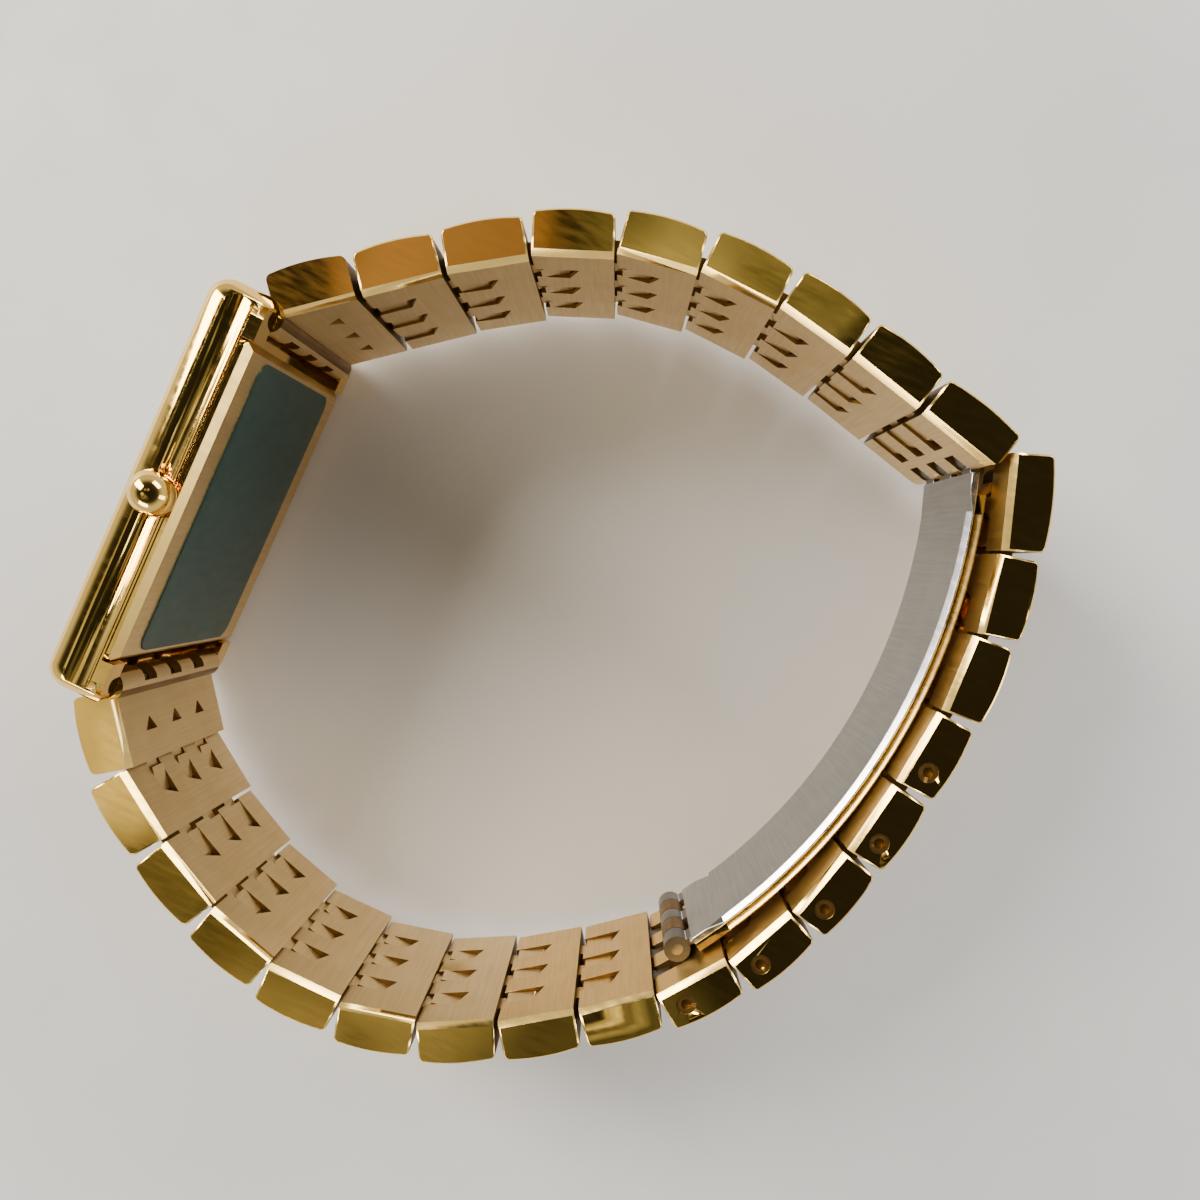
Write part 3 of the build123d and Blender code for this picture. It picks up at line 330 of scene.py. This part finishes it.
def plain(name, colours, roughness, size, depth):
    """A painted, moulded or printed surface with soft variation and fine relief."""
    material, tree, shader = new_material(name)
    place = object_place(tree, UNSCALED)
    tree.links.new(mixed_colour(tree, noise(tree, place, size), colours), shader.inputs["Base Color"])
    fine = noise(tree, place, size * FINE_TIMES)
    least, most = (roughness * share for share in ROUGHNESS_SHARES)
    tree.links.new(spread(tree, fine, least, most), shader.inputs["Roughness"])
    relief(tree, shader, fine, depth)
    return material


# The floor: its two greys, roughness, size of the mottle and depth of the grain
FLOOR_GREYS = ((0.60, 0.60, 0.61), (0.64, 0.64, 0.64))
FLOOR_ROUGHNESS = 0.6
FLOOR_MOTTLE = 40.0
FLOOR_GRAIN = 0.004 * MM


def floor_material():
    """The pale floor: matt, with a very soft mottle."""
    return plain("floor_paper", FLOOR_GREYS, FLOOR_ROUGHNESS, FLOOR_MOTTLE, FLOOR_GRAIN)


# The film on the case back
FILM_TINTS = ((0.014, 0.038, 0.033), (0.019, 0.046, 0.040))
FILM_CLOUDS = 180.0
FILM_SPECULAR = 0.22
FILM_SCUFFS = (700, 1500, 500)
FILM_ROUGHNESS = (0.28, 0.33)


def film_material():
    """The dark tinted film: glossy, a little wavy where it lies on the case back."""
    material, tree, shader = new_material("film_plastic")
    place = object_place(tree, UNSCALED)
    tint = mixed_colour(tree, noise(tree, place, FILM_CLOUDS), FILM_TINTS)
    tree.links.new(tint, shader.inputs["Base Color"])
    shader.inputs["Specular IOR Level"].default_value = FILM_SPECULAR
    scuffs = noise(tree, object_place(tree, FILM_SCUFFS), 1.0)
    tree.links.new(spread(tree, scuffs, *FILM_ROUGHNESS), shader.inputs["Roughness"])
    relief(tree, shader, noise(tree, place, WAVES, 0.0), FAINT_WAVE)
    return material


# The dial: its middle across the width in millimetres, and its sunray brushing
DIAL_MIDDLE_Z = 12.0
DIAL_TINTS = ((0.80, 0.70, 0.47), (0.73, 0.62, 0.38))
DIAL_METALLIC = 0.55
DIAL_RAYS = 70.0
DIAL_RAY_DETAIL = 3.0
DIAL_ROUGHNESS = (0.30, 0.42)
DIAL_RAY_DEPTH = 0.004 * MM


def dial_material():
    """Champagne dial with a fine sunray brushing from its middle."""
    material, tree, shader = new_material("dial_sunray")
    shader.inputs["Metallic"].default_value = DIAL_METALLIC
    coordinates = tree.nodes.new("ShaderNodeTexCoord")
    axes = tree.nodes.new("ShaderNodeSeparateXYZ")
    tree.links.new(coordinates.outputs["Object"], axes.inputs["Vector"])
    across = tree.nodes.new("ShaderNodeMath")
    across.operation = "SUBTRACT"
    across.inputs[1].default_value = DIAL_MIDDLE_Z * MM
    tree.links.new(axes.outputs["Z"], across.inputs[0])
    turn = tree.nodes.new("ShaderNodeMath")
    turn.operation = "ARCTAN2"
    tree.links.new(across.outputs["Value"], turn.inputs[0])
    tree.links.new(axes.outputs["Y"], turn.inputs[1])
    rays = tree.nodes.new("ShaderNodeTexNoise")
    rays.noise_dimensions = "1D"
    rays.inputs["Scale"].default_value = DIAL_RAYS
    rays.inputs["Detail"].default_value = DIAL_RAY_DETAIL
    tree.links.new(turn.outputs["Value"], rays.inputs["W"])
    tint = mixed_colour(tree, rays.outputs["Fac"], DIAL_TINTS)
    tree.links.new(tint, shader.inputs["Base Color"])
    tree.links.new(spread(tree, rays.outputs["Fac"], *DIAL_ROUGHNESS), shader.inputs["Roughness"])
    relief(tree, shader, rays.outputs["Fac"], DIAL_RAY_DEPTH)
    return material


# The crystal
CRYSTAL_TINT = (0.98, 1.0, 1.0)
CRYSTAL_IOR = 1.5
CRYSTAL_HAZE = 600.0
CRYSTAL_ROUGHNESS = (0.0, 0.03)


def crystal_material():
    """Clear crystal with a faint tint."""
    material, tree, shader = new_material("crystal_glass")
    shader.inputs["Base Color"].default_value = (*CRYSTAL_TINT, 1)
    shader.inputs["Transmission Weight"].default_value = 1.0
    shader.inputs["IOR"].default_value = CRYSTAL_IOR
    haze = noise(tree, object_place(tree, UNSCALED), CRYSTAL_HAZE)
    tree.links.new(spread(tree, haze, *CRYSTAL_ROUGHNESS), shader.inputs["Roughness"])
    return material


# Polished metals: their two colours, the range of their roughness, and the depth of unusual waves
POLISHED = {
    "polished_gold": (((0.96, 0.63, 0.16), (0.90, 0.57, 0.13)), (0.06, 0.12)),
    "edge_gold": (((0.93, 0.64, 0.20), (0.90, 0.59, 0.16)), (0.18, 0.26), FAINT_WAVE),
    "bevel_gold": (((0.74, 0.49, 0.15), (0.68, 0.44, 0.12)), (0.28, 0.36), FAINT_WAVE),
    "blade_side": (((0.62, 0.44, 0.17), (0.54, 0.38, 0.14)), (0.20, 0.28)),
    # painted shade: a dark steel for the knuckles round the clasp pins and the joining tongues, where shade
    # falls
    "painted_shade_steel": (((0.20, 0.19, 0.18), (0.14, 0.13, 0.12)), (0.35, 0.45)),
    "edge_steel": (((0.84, 0.81, 0.86), (0.78, 0.76, 0.80)), (0.20, 0.28)),
    "turned_steel": (((0.62, 0.62, 0.61), (0.55, 0.55, 0.55)), (0.14, 0.22)),
    "cell_metal": (((0.72, 0.72, 0.70), (0.64, 0.64, 0.62)), (0.20, 0.30)),
}

# Brushed metals: their two colours, the range of their roughness, and the depth and grain of unusual lines
BRUSHED = {
    "satin_gold": (((0.82, 0.60, 0.28), (0.74, 0.53, 0.23)), (0.30, 0.42)),
    "blade_gold": (((0.72, 0.50, 0.19), (0.62, 0.42, 0.15)), (0.26, 0.34), BLADE_DEPTH),
    # painted shade: a dark gold for slots, gaps between links, pockets and knuckles, where shade falls
    "painted_shade_gold": (((0.22, 0.12, 0.035), (0.15, 0.08, 0.02)), (0.42, 0.52)),
    "cover_gold": (((0.88, 0.56, 0.13), (0.82, 0.51, 0.11)), (0.28, 0.34), COVER_DEPTH),
    "warm_gold": (((0.82, 0.54, 0.18), (0.72, 0.46, 0.14)), (0.28, 0.38)),
    "brushed_steel": (((0.38, 0.38, 0.38), (0.33, 0.33, 0.33)), (0.28, 0.36), STEEL_DEPTH),
    "movement_metal": (((0.70, 0.62, 0.42), (0.62, 0.53, 0.34)), (0.30, 0.42), PLATE_DEPTH, PLATE_LINES),
}

# Plain surfaces: their two colours, roughness, size of the patches and depth of the relief
PRINT_DEPTH = 0.002 * MM
MOULDED_DEPTH = 0.01 * MM
PLAIN = {
    "dial_print": (((0.05, 0.035, 0.02), (0.07, 0.05, 0.03)), 0.5, 900.0, PRINT_DEPTH),
    "seal_rubber": (((0.02, 0.02, 0.02), (0.035, 0.035, 0.035)), 0.6, 900.0, MOULDED_DEPTH),
    "holder_plastic": (((0.72, 0.72, 0.68), (0.66, 0.66, 0.62)), 0.5, 700.0, MOULDED_DEPTH),
    "board_green": (((0.02, 0.12, 0.06), (0.03, 0.16, 0.08)), 0.3, 900.0, MOULDED_DEPTH),
}

finishes = {name: polished(name, *look) for name, look in POLISHED.items()}
finishes.update({name: brushed(name, *look) for name, look in BRUSHED.items()})
finishes.update({name: plain(name, *look) for name, look in PLAIN.items()})
finishes["dial_paint"] = dial_material()
finishes["film_plastic"] = film_material()
finishes["crystal_glass"] = crystal_material()

# Finishes of the CAD nodes that aren't polished gold
NODE_FINISHES = {
    "crystal": "crystal_glass", "crystal_gasket": "seal_rubber", "dial": "dial_paint",
    "back_film": "film_plastic", "back_gasket": "seal_rubber", "movement_plate": "movement_metal",
    "movement_holder": "holder_plastic", "battery": "cell_metal", "battery_strap": "turned_steel",
    "circuit_board": "board_green", "hand_post": "turned_steel", "crown_tube": "turned_steel",
    "stem": "turned_steel", "spring_bar_twelve": "turned_steel", "spring_bar_six": "turned_steel",
    "pin_a": "turned_steel", "pin_b": "turned_steel", "pin_c": "blade_gold", "catch_stud": "turned_steel",
    # the joining tongues take the dark steel of painted shade all over
    "joining_tongues": "painted_shade_steel",
}

# A skin's four finishes, by the number that its faces carry; the fourth is painted shade, a dark metal for
# slots, gaps, pockets and knuckles
MAIN, SATIN_FACE, EDGE, PAINTED_SHADE = 0, 1, 2, 3
LINK_SET = ("polished_gold", "satin_gold", "edge_gold", "painted_shade_gold")
COVER_SET = ("polished_gold", "cover_gold", "edge_gold", "painted_shade_gold")
BACK_SET = ("polished_gold", "satin_gold", "bevel_gold", "painted_shade_gold")
JOINING_SET = ("polished_gold", "warm_gold", "edge_gold", "painted_shade_gold")
STEEL_SET = ("edge_steel", "brushed_steel", "edge_steel", "painted_shade_steel")
BLADE_SET = ("blade_side", "blade_gold", "blade_side", "painted_shade_gold")

END_LINKS = ("link_12_1", "link_6_1")
JOINING_LINKS = ("link_6_8", "link_6_9")

# The printed track of the dial, in millimetres
TRACK_HALF_LENGTH = 10.55
TRACK_HALF_WIDTH = 8.2
TRACK_TICKS = 60
TRACK_TICK = (0.30, 0.09)
TRACK_HEIGHT = 0.012

# Skins: how edges are found and taken off, in millimetres, square millimetres and radians
WELD_GAP = 0.0005
FLAT_ANGLE = radians(0.3)
SHARP_ANGLE = radians(25)
SMOOTH_ANGLE = radians(50)
LINK_EDGE = 0.05
CASE_EDGE = 0.06
HAND_EDGE = 0.025
SHORTEST_ROUNDED = 0.35
SMALLEST_ROUNDED = 0.06
ROUND_SEGMENTS = 2
ARC_PROFILE = 0.5
INNER_CHAMFER = 0.40
BACK_CHAMFER = 0.50
BLADE_CHAMFER = 0.36
BLADE_END = 3.0
KNUCKLE_REACH = 1.3
FLUSH_DEPTH = 0.03
RIM_DEPTH = 0.5
LOOP_MIDDLE = Vector((26.0, 3.0, 12.0))

# The directions of the watch
WRIST = Vector((1, 0, 0))
TWELVE = Vector((0, 1, 0))
ACROSS = Vector((0, 0, 1))

# How squarely a face looks in a direction, as the cosine between the two
SQUARE = 0.99
NEARLY_SQUARE = 0.95
MAINLY = 0.9
LARGELY = 0.8
PARTLY = 0.7
HALF = 0.5
SLANTING = 0.3
HARDLY = 0.1

# Pockets in the end links' inner faces, darkened with painted shade, in millimetres: stations across the
# width, size and depth
POCKET_STATIONS = (-4.9, 0.0, 4.9)
POCKET_LENGTH = 1.0
POCKET_WIDTH = 2.0
POCKET_DEPTH = 0.4
CUTTER_SPARE = 1.0

# A triangle of three equal sides whose corners lie at 1 from its middle
TRIANGLE_WIDTH = sqrt(3)
TRIANGLE_LENGTH = 1.5


def paint_cad_nodes():
    """Every CAD node gets its own finish."""
    for name, node in nodes.items():
        material = finishes[NODE_FINISHES.get(name, "polished_gold")]
        if not node.material_slots:
            node.data.materials.append(material)
        for slot in node.material_slots:
            slot.link = "OBJECT"
            slot.material = material


def welded(name):
    """A copy of a node's shape in millimetres, with joined points and whole flat faces."""
    shape = bmesh.new()
    shape.from_mesh(nodes[name].data)
    bmesh.ops.scale(shape, vec=(PER_MM, PER_MM, PER_MM), verts=shape.verts)
    bmesh.ops.remove_doubles(shape, verts=shape.verts, dist=WELD_GAP)
    bmesh.ops.dissolve_limit(shape, angle_limit=FLAT_ANGLE, verts=shape.verts, edges=shape.edges)
    shape.normal_update()
    return shape


def take_off_edges(shape, edges, width, segments, clamped):
    """Takes edges off by a width, round or with one slope, in the edge finish."""
    bmesh.ops.bevel(
        shape, geom=edges, offset=width, offset_type="OFFSET", segments=segments, profile=ARC_PROFILE,
        affect="EDGES", clamp_overlap=clamped, material=EDGE,
    )


def round_edges(shape, width):
    """Rounds the edges that turn more than the sharp angle, but no short ones and none beside a tiny face."""
    chosen = [
        edge for edge in shape.edges
        if len(edge.link_faces) == 2 and edge.calc_face_angle(0) > SHARP_ANGLE
        and edge.calc_length() > SHORTEST_ROUNDED
        and min(face.calc_area() for face in edge.link_faces) > SMALLEST_ROUNDED
    ]
    take_off_edges(shape, chosen, width, ROUND_SEGMENTS, True)


def skin(name, shape, finish_names):
    """Turns a shape in millimetres into the piece that stands for a node, smooth but for its sharp edges."""
    bmesh.ops.scale(shape, vec=(MM, MM, MM), verts=shape.verts)
    mesh = bpy.data.meshes.new(f"{name}_skin")
    shape.to_mesh(mesh)
    shape.free()
    mesh.set_sharp_from_angle(angle=SMOOTH_ANGLE)
    for finish in finish_names:
        mesh.materials.append(finishes[finish])
    piece = bpy.data.objects.new(f"{name}_skin", mesh)
    bpy.context.scene.collection.objects.link(piece)
    even = piece.modifiers.new("even_normals", "WEIGHTED_NORMAL")
    even.keep_sharp = True
    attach(piece, BODY_OF[name])
    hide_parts(name)


def inner_direction(shape):
    """Which way a link's flat inner face looks: the largest face that looks into the loop."""
    def looks_in(face):
        towards = LOOP_MIDDLE - face.calc_center_median()
        towards.z = 0
        return abs(face.normal.z) < HARDLY and face.normal.dot(towards.normalized()) > HALF
    return max(filter(looks_in, shape.faces), key=lambda face: face.calc_area()).normal.copy()


def slice_edge(shape, facing, other, leg):
    """Slices off the square edge between the sides that look two ways, and gives the cut the edge finish."""
    reach = max(vert.co.dot(facing) for vert in shape.verts)
    other_reach = max(vert.co.dot(other) for vert in shape.verts)
    on_plane = facing * (reach - leg) + other * other_reach
    everything = shape.verts[:] + shape.edges[:] + shape.faces[:]
    cut = bmesh.ops.bisect_plane(
        shape, geom=everything, dist=WELD_GAP, plane_co=on_plane, plane_no=(facing + other).normalized(),
        clear_outer=True,
    )
    rim = [item for item in cut["geom_cut"] if isinstance(item, bmesh.types.BMEdge)]
    filled = bmesh.ops.holes_fill(shape, edges=rim, sides=0)["faces"]
    bmesh.ops.recalc_face_normals(shape, faces=shape.faces)
    for face in filled:
        face.material_index = EDGE


def cut_away(shape, cutter):
    """One closed shape less another: the faces of the cut keep the cutter's finish."""
    pieces = []
    for part in (shape, cutter):
        mesh = bpy.data.meshes.new("cut")
        part.to_mesh(mesh)
        part.free()
        for _ in range(PAINTED_SHADE + 1):
            mesh.materials.append(None)
        piece = bpy.data.objects.new("cut", mesh)
        bpy.context.scene.collection.objects.link(piece)
        pieces.append(piece)
    cut = pieces[0].modifiers.new("cut", "BOOLEAN")
    cut.operation = "DIFFERENCE"
    cut.solver = "EXACT"
    cut.object = pieces[1]
    seen = pieces[0].evaluated_get(bpy.context.evaluated_depsgraph_get())
    result = bmesh.new()
    result.from_mesh(seen.to_mesh())
    seen.to_mesh_clear()
    for piece in pieces:
        mesh = piece.data
        bpy.data.objects.remove(piece)
        bpy.data.meshes.remove(mesh)
    bmesh.ops.remove_doubles(result, verts=result.verts, dist=WELD_GAP)
    result.normal_update()
    return result


def block(shape, centre, axes, size, finish):
    """Adds a box to a shape: its centre, three square directions and three lengths."""
    turned = Matrix([axis.to_tuple() for axis in axes]).transposed().to_4x4()
    placed = Matrix.Translation(centre) @ turned @ Matrix.Diagonal((*size, 1))
    corners = bmesh.ops.create_cube(shape, size=1, matrix=placed)["verts"]
    for face in {face for corner in corners for face in corner.link_faces}:
        face.material_index = finish


def dress_end_link(shape, inward):
    """An end link's inner chamfers, which stop at its barrel, and the pockets in its inner face, darkened
    with painted shade.
    """
    inner_faces = [face for face in shape.faces if face.normal.dot(inward) > SQUARE]
    largest = max(inner_faces, key=lambda face: face.calc_area())
    along = inward.cross(ACROSS)
    reaches = [vert.co.dot(along) for vert in largest.verts]
    start, end = min(reaches), max(reaches)
    level = largest.verts[0].co.dot(inward)
    side_reach = max(vert.co.z for vert in shape.verts) - LOOP_MIDDLE.z
    cutter = bmesh.new()
    for side in (1, -1):
        outwards = ACROSS * side
        slope = (inward + outwards).normalized()
        across = (inward - outwards).normalized()
        on_slope = inward * (level - INNER_CHAMFER / 2) + along * (start + end) / 2
        on_slope.z = LOOP_MIDDLE.z + side * (side_reach - INNER_CHAMFER / 2)
        block(
            cutter, on_slope + slope * CUTTER_SPARE / 2, (along, across, slope),
            (end - start + WELD_GAP, CUTTER_SPARE, CUTTER_SPARE), EDGE,
        )
    for station in POCKET_STATIONS:
        middle = inward * level + along * (start + end) / 2
        middle.z = LOOP_MIDDLE.z + station
        apex = -along if middle.xy.dot(along.xy) > 0 else along
        turned = Matrix((ACROSS, apex, inward)).transposed().to_4x4()
        size = Matrix.Diagonal((POCKET_WIDTH / TRIANGLE_WIDTH, POCKET_LENGTH / TRIANGLE_LENGTH, 1, 1))
        corners = bmesh.ops.create_cone(
            cutter, cap_ends=True, segments=3, radius1=1, radius2=1, depth=2 * POCKET_DEPTH,
            matrix=Matrix.Translation(middle) @ turned @ size,
        )["verts"]
        for face in {face for corner in corners for face in corner.link_faces}:
            # the pockets' faces take the painted shade
            face.material_index = PAINTED_SHADE
    bmesh.ops.recalc_face_normals(cutter, faces=cutter.faces)
    return cut_away(shape, cutter)


def finish_link_faces(shape, inward):
    """Satin inside, polished outside and on both sides, bright rims, and painted shade on the faces between
    the links.
    """
    side_reach = max(vert.co.z for vert in shape.verts) - LOOP_MIDDLE.z
    for face in shape.faces:
        depth = side_reach - abs(face.calc_center_median().z - LOOP_MIDDLE.z)
        looks_in, looks_across = face.normal.dot(inward), abs(face.normal.z)
        if looks_in > LARGELY:
            face.material_index = SATIN_FACE
        elif looks_in < -MAINLY or (depth < FLUSH_DEPTH and looks_across > MAINLY):
            face.material_index = MAIN
        elif depth < RIM_DEPTH and SLANTING < looks_across < MAINLY:
            face.material_index = EDGE
        else:
            # slot walls, link ends and other faces between the links take the painted shade
            face.material_index = PAINTED_SHADE


def dress_links():
    """Links: satin inner faces, polished sides, painted shade in the gaps and bright slices along the inner
    edges.
    """
    for name in nodes:
        if not name.startswith(("link_", "cover_")):
            continue
        shape = welded(name)
        inward = inner_direction(shape)
        finish_link_faces(shape, inward)
        if name in END_LINKS:
            shape = dress_end_link(shape, inward)
        else:
            slice_edge(shape, inward, ACROSS, INNER_CHAMFER)
            slice_edge(shape, inward, -ACROSS, INNER_CHAMFER)
        round_edges(shape, LINK_EDGE)
        if name in JOINING_LINKS:
            finish_names = JOINING_SET
        else:
            finish_names = COVER_SET if name.startswith("cover_") else LINK_SET
        skin(name, shape, finish_names)


def dress_rounded(name, width):
    """A polished node with rounded edges in the bright edge finish."""
    shape = welded(name)
    for face in shape.faces:
        face.material_index = MAIN
    round_edges(shape, width)
    skin(name, shape, LINK_SET)


def dress_case_back():
    """The case back: satin face, and a bright bevel all round it."""
    shape = welded("case_back")
    for face in shape.faces:
        face.material_index = SATIN_FACE if face.normal.dot(WRIST) > NEARLY_SQUARE else MAIN
    for side in (ACROSS, -ACROSS, TWELVE, -TWELVE):
        slice_edge(shape, WRIST, side, BACK_CHAMFER)
    round_edges(shape, CASE_EDGE)
    skin("case_back", shape, BACK_SET)


def dress_blade(name, finish_names, pins):
    """A clasp blade: brushed faces, bright slopes along its inner edges, and painted shade on the knuckles
    round its pins.
    """
    shape = welded(name)
    axes = []
    for pin in pins:
        low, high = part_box(pin)
        axes.append(Vector(((low.x + high.x) / 2, (low.y + high.y) / 2)) * PER_MM)

    def from_pins(spot):
        return min((spot.xy - axis).length for axis in axes)

    for face in shape.faces:
        if from_pins(face.calc_center_median()) < KNUCKLE_REACH:
            # the knuckles round the pins take the painted shade
            face.material_index = PAINTED_SHADE
        else:
            face.material_index = MAIN if abs(face.normal.z) > MAINLY else SATIN_FACE
    inner_edges = []
    for edge in shape.edges:
        if len(edge.link_faces) != 2 or min(from_pins(vert.co) for vert in edge.verts) < BLADE_END:
            continue
        flat, upright = sorted(edge.link_faces, key=lambda face: abs(face.normal.z))
        towards = (LOOP_MIDDLE - edge.verts[0].co).xy.normalized()
        if abs(upright.normal.z) > SQUARE and flat.normal.xy.dot(towards) > PARTLY:
            inner_edges.append(edge)
    take_off_edges(shape, inner_edges, BLADE_CHAMFER, 1, False)
    round_edges(shape, LINK_EDGE)
    skin(name, shape, finish_names)


# Bezel: the same sizes as its solid, in millimetres
BEZEL_DEPTH = 1.4
BEZEL_ROUND = 1.15
CASE_CORNER = 1.6
APERTURE_HALF = (10.9, 8.5)
APERTURE_CORNER = 0.9
CRYSTAL_MARGIN = 0.6
LEDGE_DEPTH = 0.9
CORNER_STEPS = 12
ROUND_STEPS = 14


def rounded_loop(x, half_length, half_width, radius):
    """Points of a rounded rectangle at one depth, its length along Y and its width along Z."""
    points = []
    for corner, (sign_y, sign_z) in enumerate(((1, 1), (-1, 1), (-1, -1), (1, -1))):
        for step in range(CORNER_STEPS + 1):
            turn = radians(90) * (corner + step / CORNER_STEPS)
            y = sign_y * (half_length - radius) + radius * cos(turn)
            z = sign_z * (half_width - radius) + radius * sin(turn)
            points.append((x, y, DIAL_MIDDLE_Z + z))
    return points


def ring_shape(loops):
    """A closed frame whose section runs through the loops and back to the first."""
    shape = bmesh.new()
    rings = [[shape.verts.new(point) for point in loop] for loop in loops]
    for ring, following in zip(rings, rings[1:] + rings[:1]):
        for i in range(len(ring)):
            j = (i + 1) % len(ring)
            shape.faces.new((ring[i], ring[j], following[j], following[i]))
    bmesh.ops.recalc_face_normals(shape, faces=shape.faces)
    return shape


def dress_bezel():
    """The bezel with a smoothly rounded front edge, and its crystal seat."""
    low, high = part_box("bezel")
    front = low.x * PER_MM
    half_length = high.y * PER_MM
    half_width = high.z * PER_MM - DIAL_MIDDLE_Z
    loops = []
    for step in range(ROUND_STEPS + 1):
        turn = radians(90) * step / ROUND_STEPS
        inset = BEZEL_ROUND * (1 - cos(turn))
        depth = front + BEZEL_DEPTH * (1 - sin(turn))
        loops.append(rounded_loop(depth, half_length - inset, half_width - inset, CASE_CORNER - inset))
    seat = [size + CRYSTAL_MARGIN for size in (*APERTURE_HALF, APERTURE_CORNER)]
    loops.append(rounded_loop(front, *seat))
    loops.append(rounded_loop(front + LEDGE_DEPTH, *seat))
    loops.append(rounded_loop(front + LEDGE_DEPTH, *APERTURE_HALF, APERTURE_CORNER))
    loops.append(rounded_loop(front + BEZEL_DEPTH, *APERTURE_HALF, APERTURE_CORNER))
    skin("bezel", ring_shape(loops), ["polished_gold"])


# Crown: the same sizes as its solid, in millimetres
CROWN_RADIUS = 1.5
CROWN_RISE = 0.75
COLLAR_RADIUS = 1.25
COLLAR_HEIGHT = 0.25
COLLAR_ROUND = 0.05
CROWN_BORE = 0.63
CROWN_BORE_DEPTH = 0.85
CROWN_STEPS = 96
CROWN_ARC_STEPS = 32


def dress_crown():
    """The ball crown on its collar, turned smooth."""
    low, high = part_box("crown")
    axis_x = (low.x + high.x) / 2 * PER_MM
    foot = low.z * PER_MM
    foot_angle = -pi / 2
    while CROWN_RISE + CROWN_RADIUS * sin(foot_angle) < COLLAR_HEIGHT:
        foot_angle += pi / CROWN_STEPS
    section = [
        (0, CROWN_BORE_DEPTH), (CROWN_BORE, CROWN_BORE_DEPTH), (CROWN_BORE, 0),
        (COLLAR_RADIUS - COLLAR_ROUND, 0), (COLLAR_RADIUS, COLLAR_ROUND), (COLLAR_RADIUS, COLLAR_HEIGHT),
    ]
    for step in range(CROWN_ARC_STEPS + 1):
        angle = foot_angle + (pi / 2 - foot_angle) * step / CROWN_ARC_STEPS
        section.append((CROWN_RADIUS * cos(angle), CROWN_RISE + CROWN_RADIUS * sin(angle)))
    shape = bmesh.new()
    points = [shape.verts.new((axis_x + radius, 0, foot + rise)) for radius, rise in section]
    edges = [shape.edges.new(pair) for pair in zip(points, points[1:])]
    bmesh.ops.spin(
        shape, geom=points + edges, cent=(axis_x, 0, 0), axis=(0, 0, 1), angle=2 * pi,
        steps=CROWN_STEPS, use_merge=True,
    )
    bmesh.ops.remove_doubles(shape, verts=shape.verts, dist=WELD_GAP)
    bmesh.ops.recalc_face_normals(shape, faces=shape.faces)
    skin("crown", shape, ["polished_gold"])


def print_minute_track():
    """Sixty thin printed ticks round the dial, each square to the centre."""
    dial_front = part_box("dial")[0].x * PER_MM
    shape = bmesh.new()
    for tick in range(TRACK_TICKS):
        turn = 2 * pi * tick / TRACK_TICKS
        out_y, out_z = cos(turn), sin(turn)
        reach = 1 / max(abs(out_y) / TRACK_HALF_LENGTH, abs(out_z) / TRACK_HALF_WIDTH)
        middle = (dial_front - TRACK_HEIGHT / 2, reach * out_y, DIAL_MIDDLE_Z + reach * out_z)
        placed = Matrix.Translation(middle)
        size = Matrix.Diagonal((TRACK_HEIGHT, TRACK_TICK[0], TRACK_TICK[1], 1))
        bmesh.ops.create_cube(shape, size=1, matrix=placed @ Matrix.Rotation(turn, 4, "X") @ size)
    bmesh.ops.scale(shape, vec=(MM, MM, MM), verts=shape.verts)
    mesh = bpy.data.meshes.new("minute_track")
    shape.to_mesh(mesh)
    shape.free()
    mesh.materials.append(finishes["dial_print"])
    track = bpy.data.objects.new("minute_track", mesh)
    bpy.context.scene.collection.objects.link(track)
    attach(track, "case")


make_camera()
make_surround()
make_studio()
paint_cad_nodes()
dress_links()
dress_rounded("middle_case", CASE_EDGE)
dress_case_back()
dress_bezel()
dress_crown()
dress_blade("steel_blade", STEEL_SET, ("pin_a", "pin_b"))
dress_blade("gold_blade", BLADE_SET, ("pin_b", "pin_c"))
for hand in ("hour_hand", "minute_hand", "hour_markers"):
    dress_rounded(hand, HAND_EDGE)
print_minute_track()
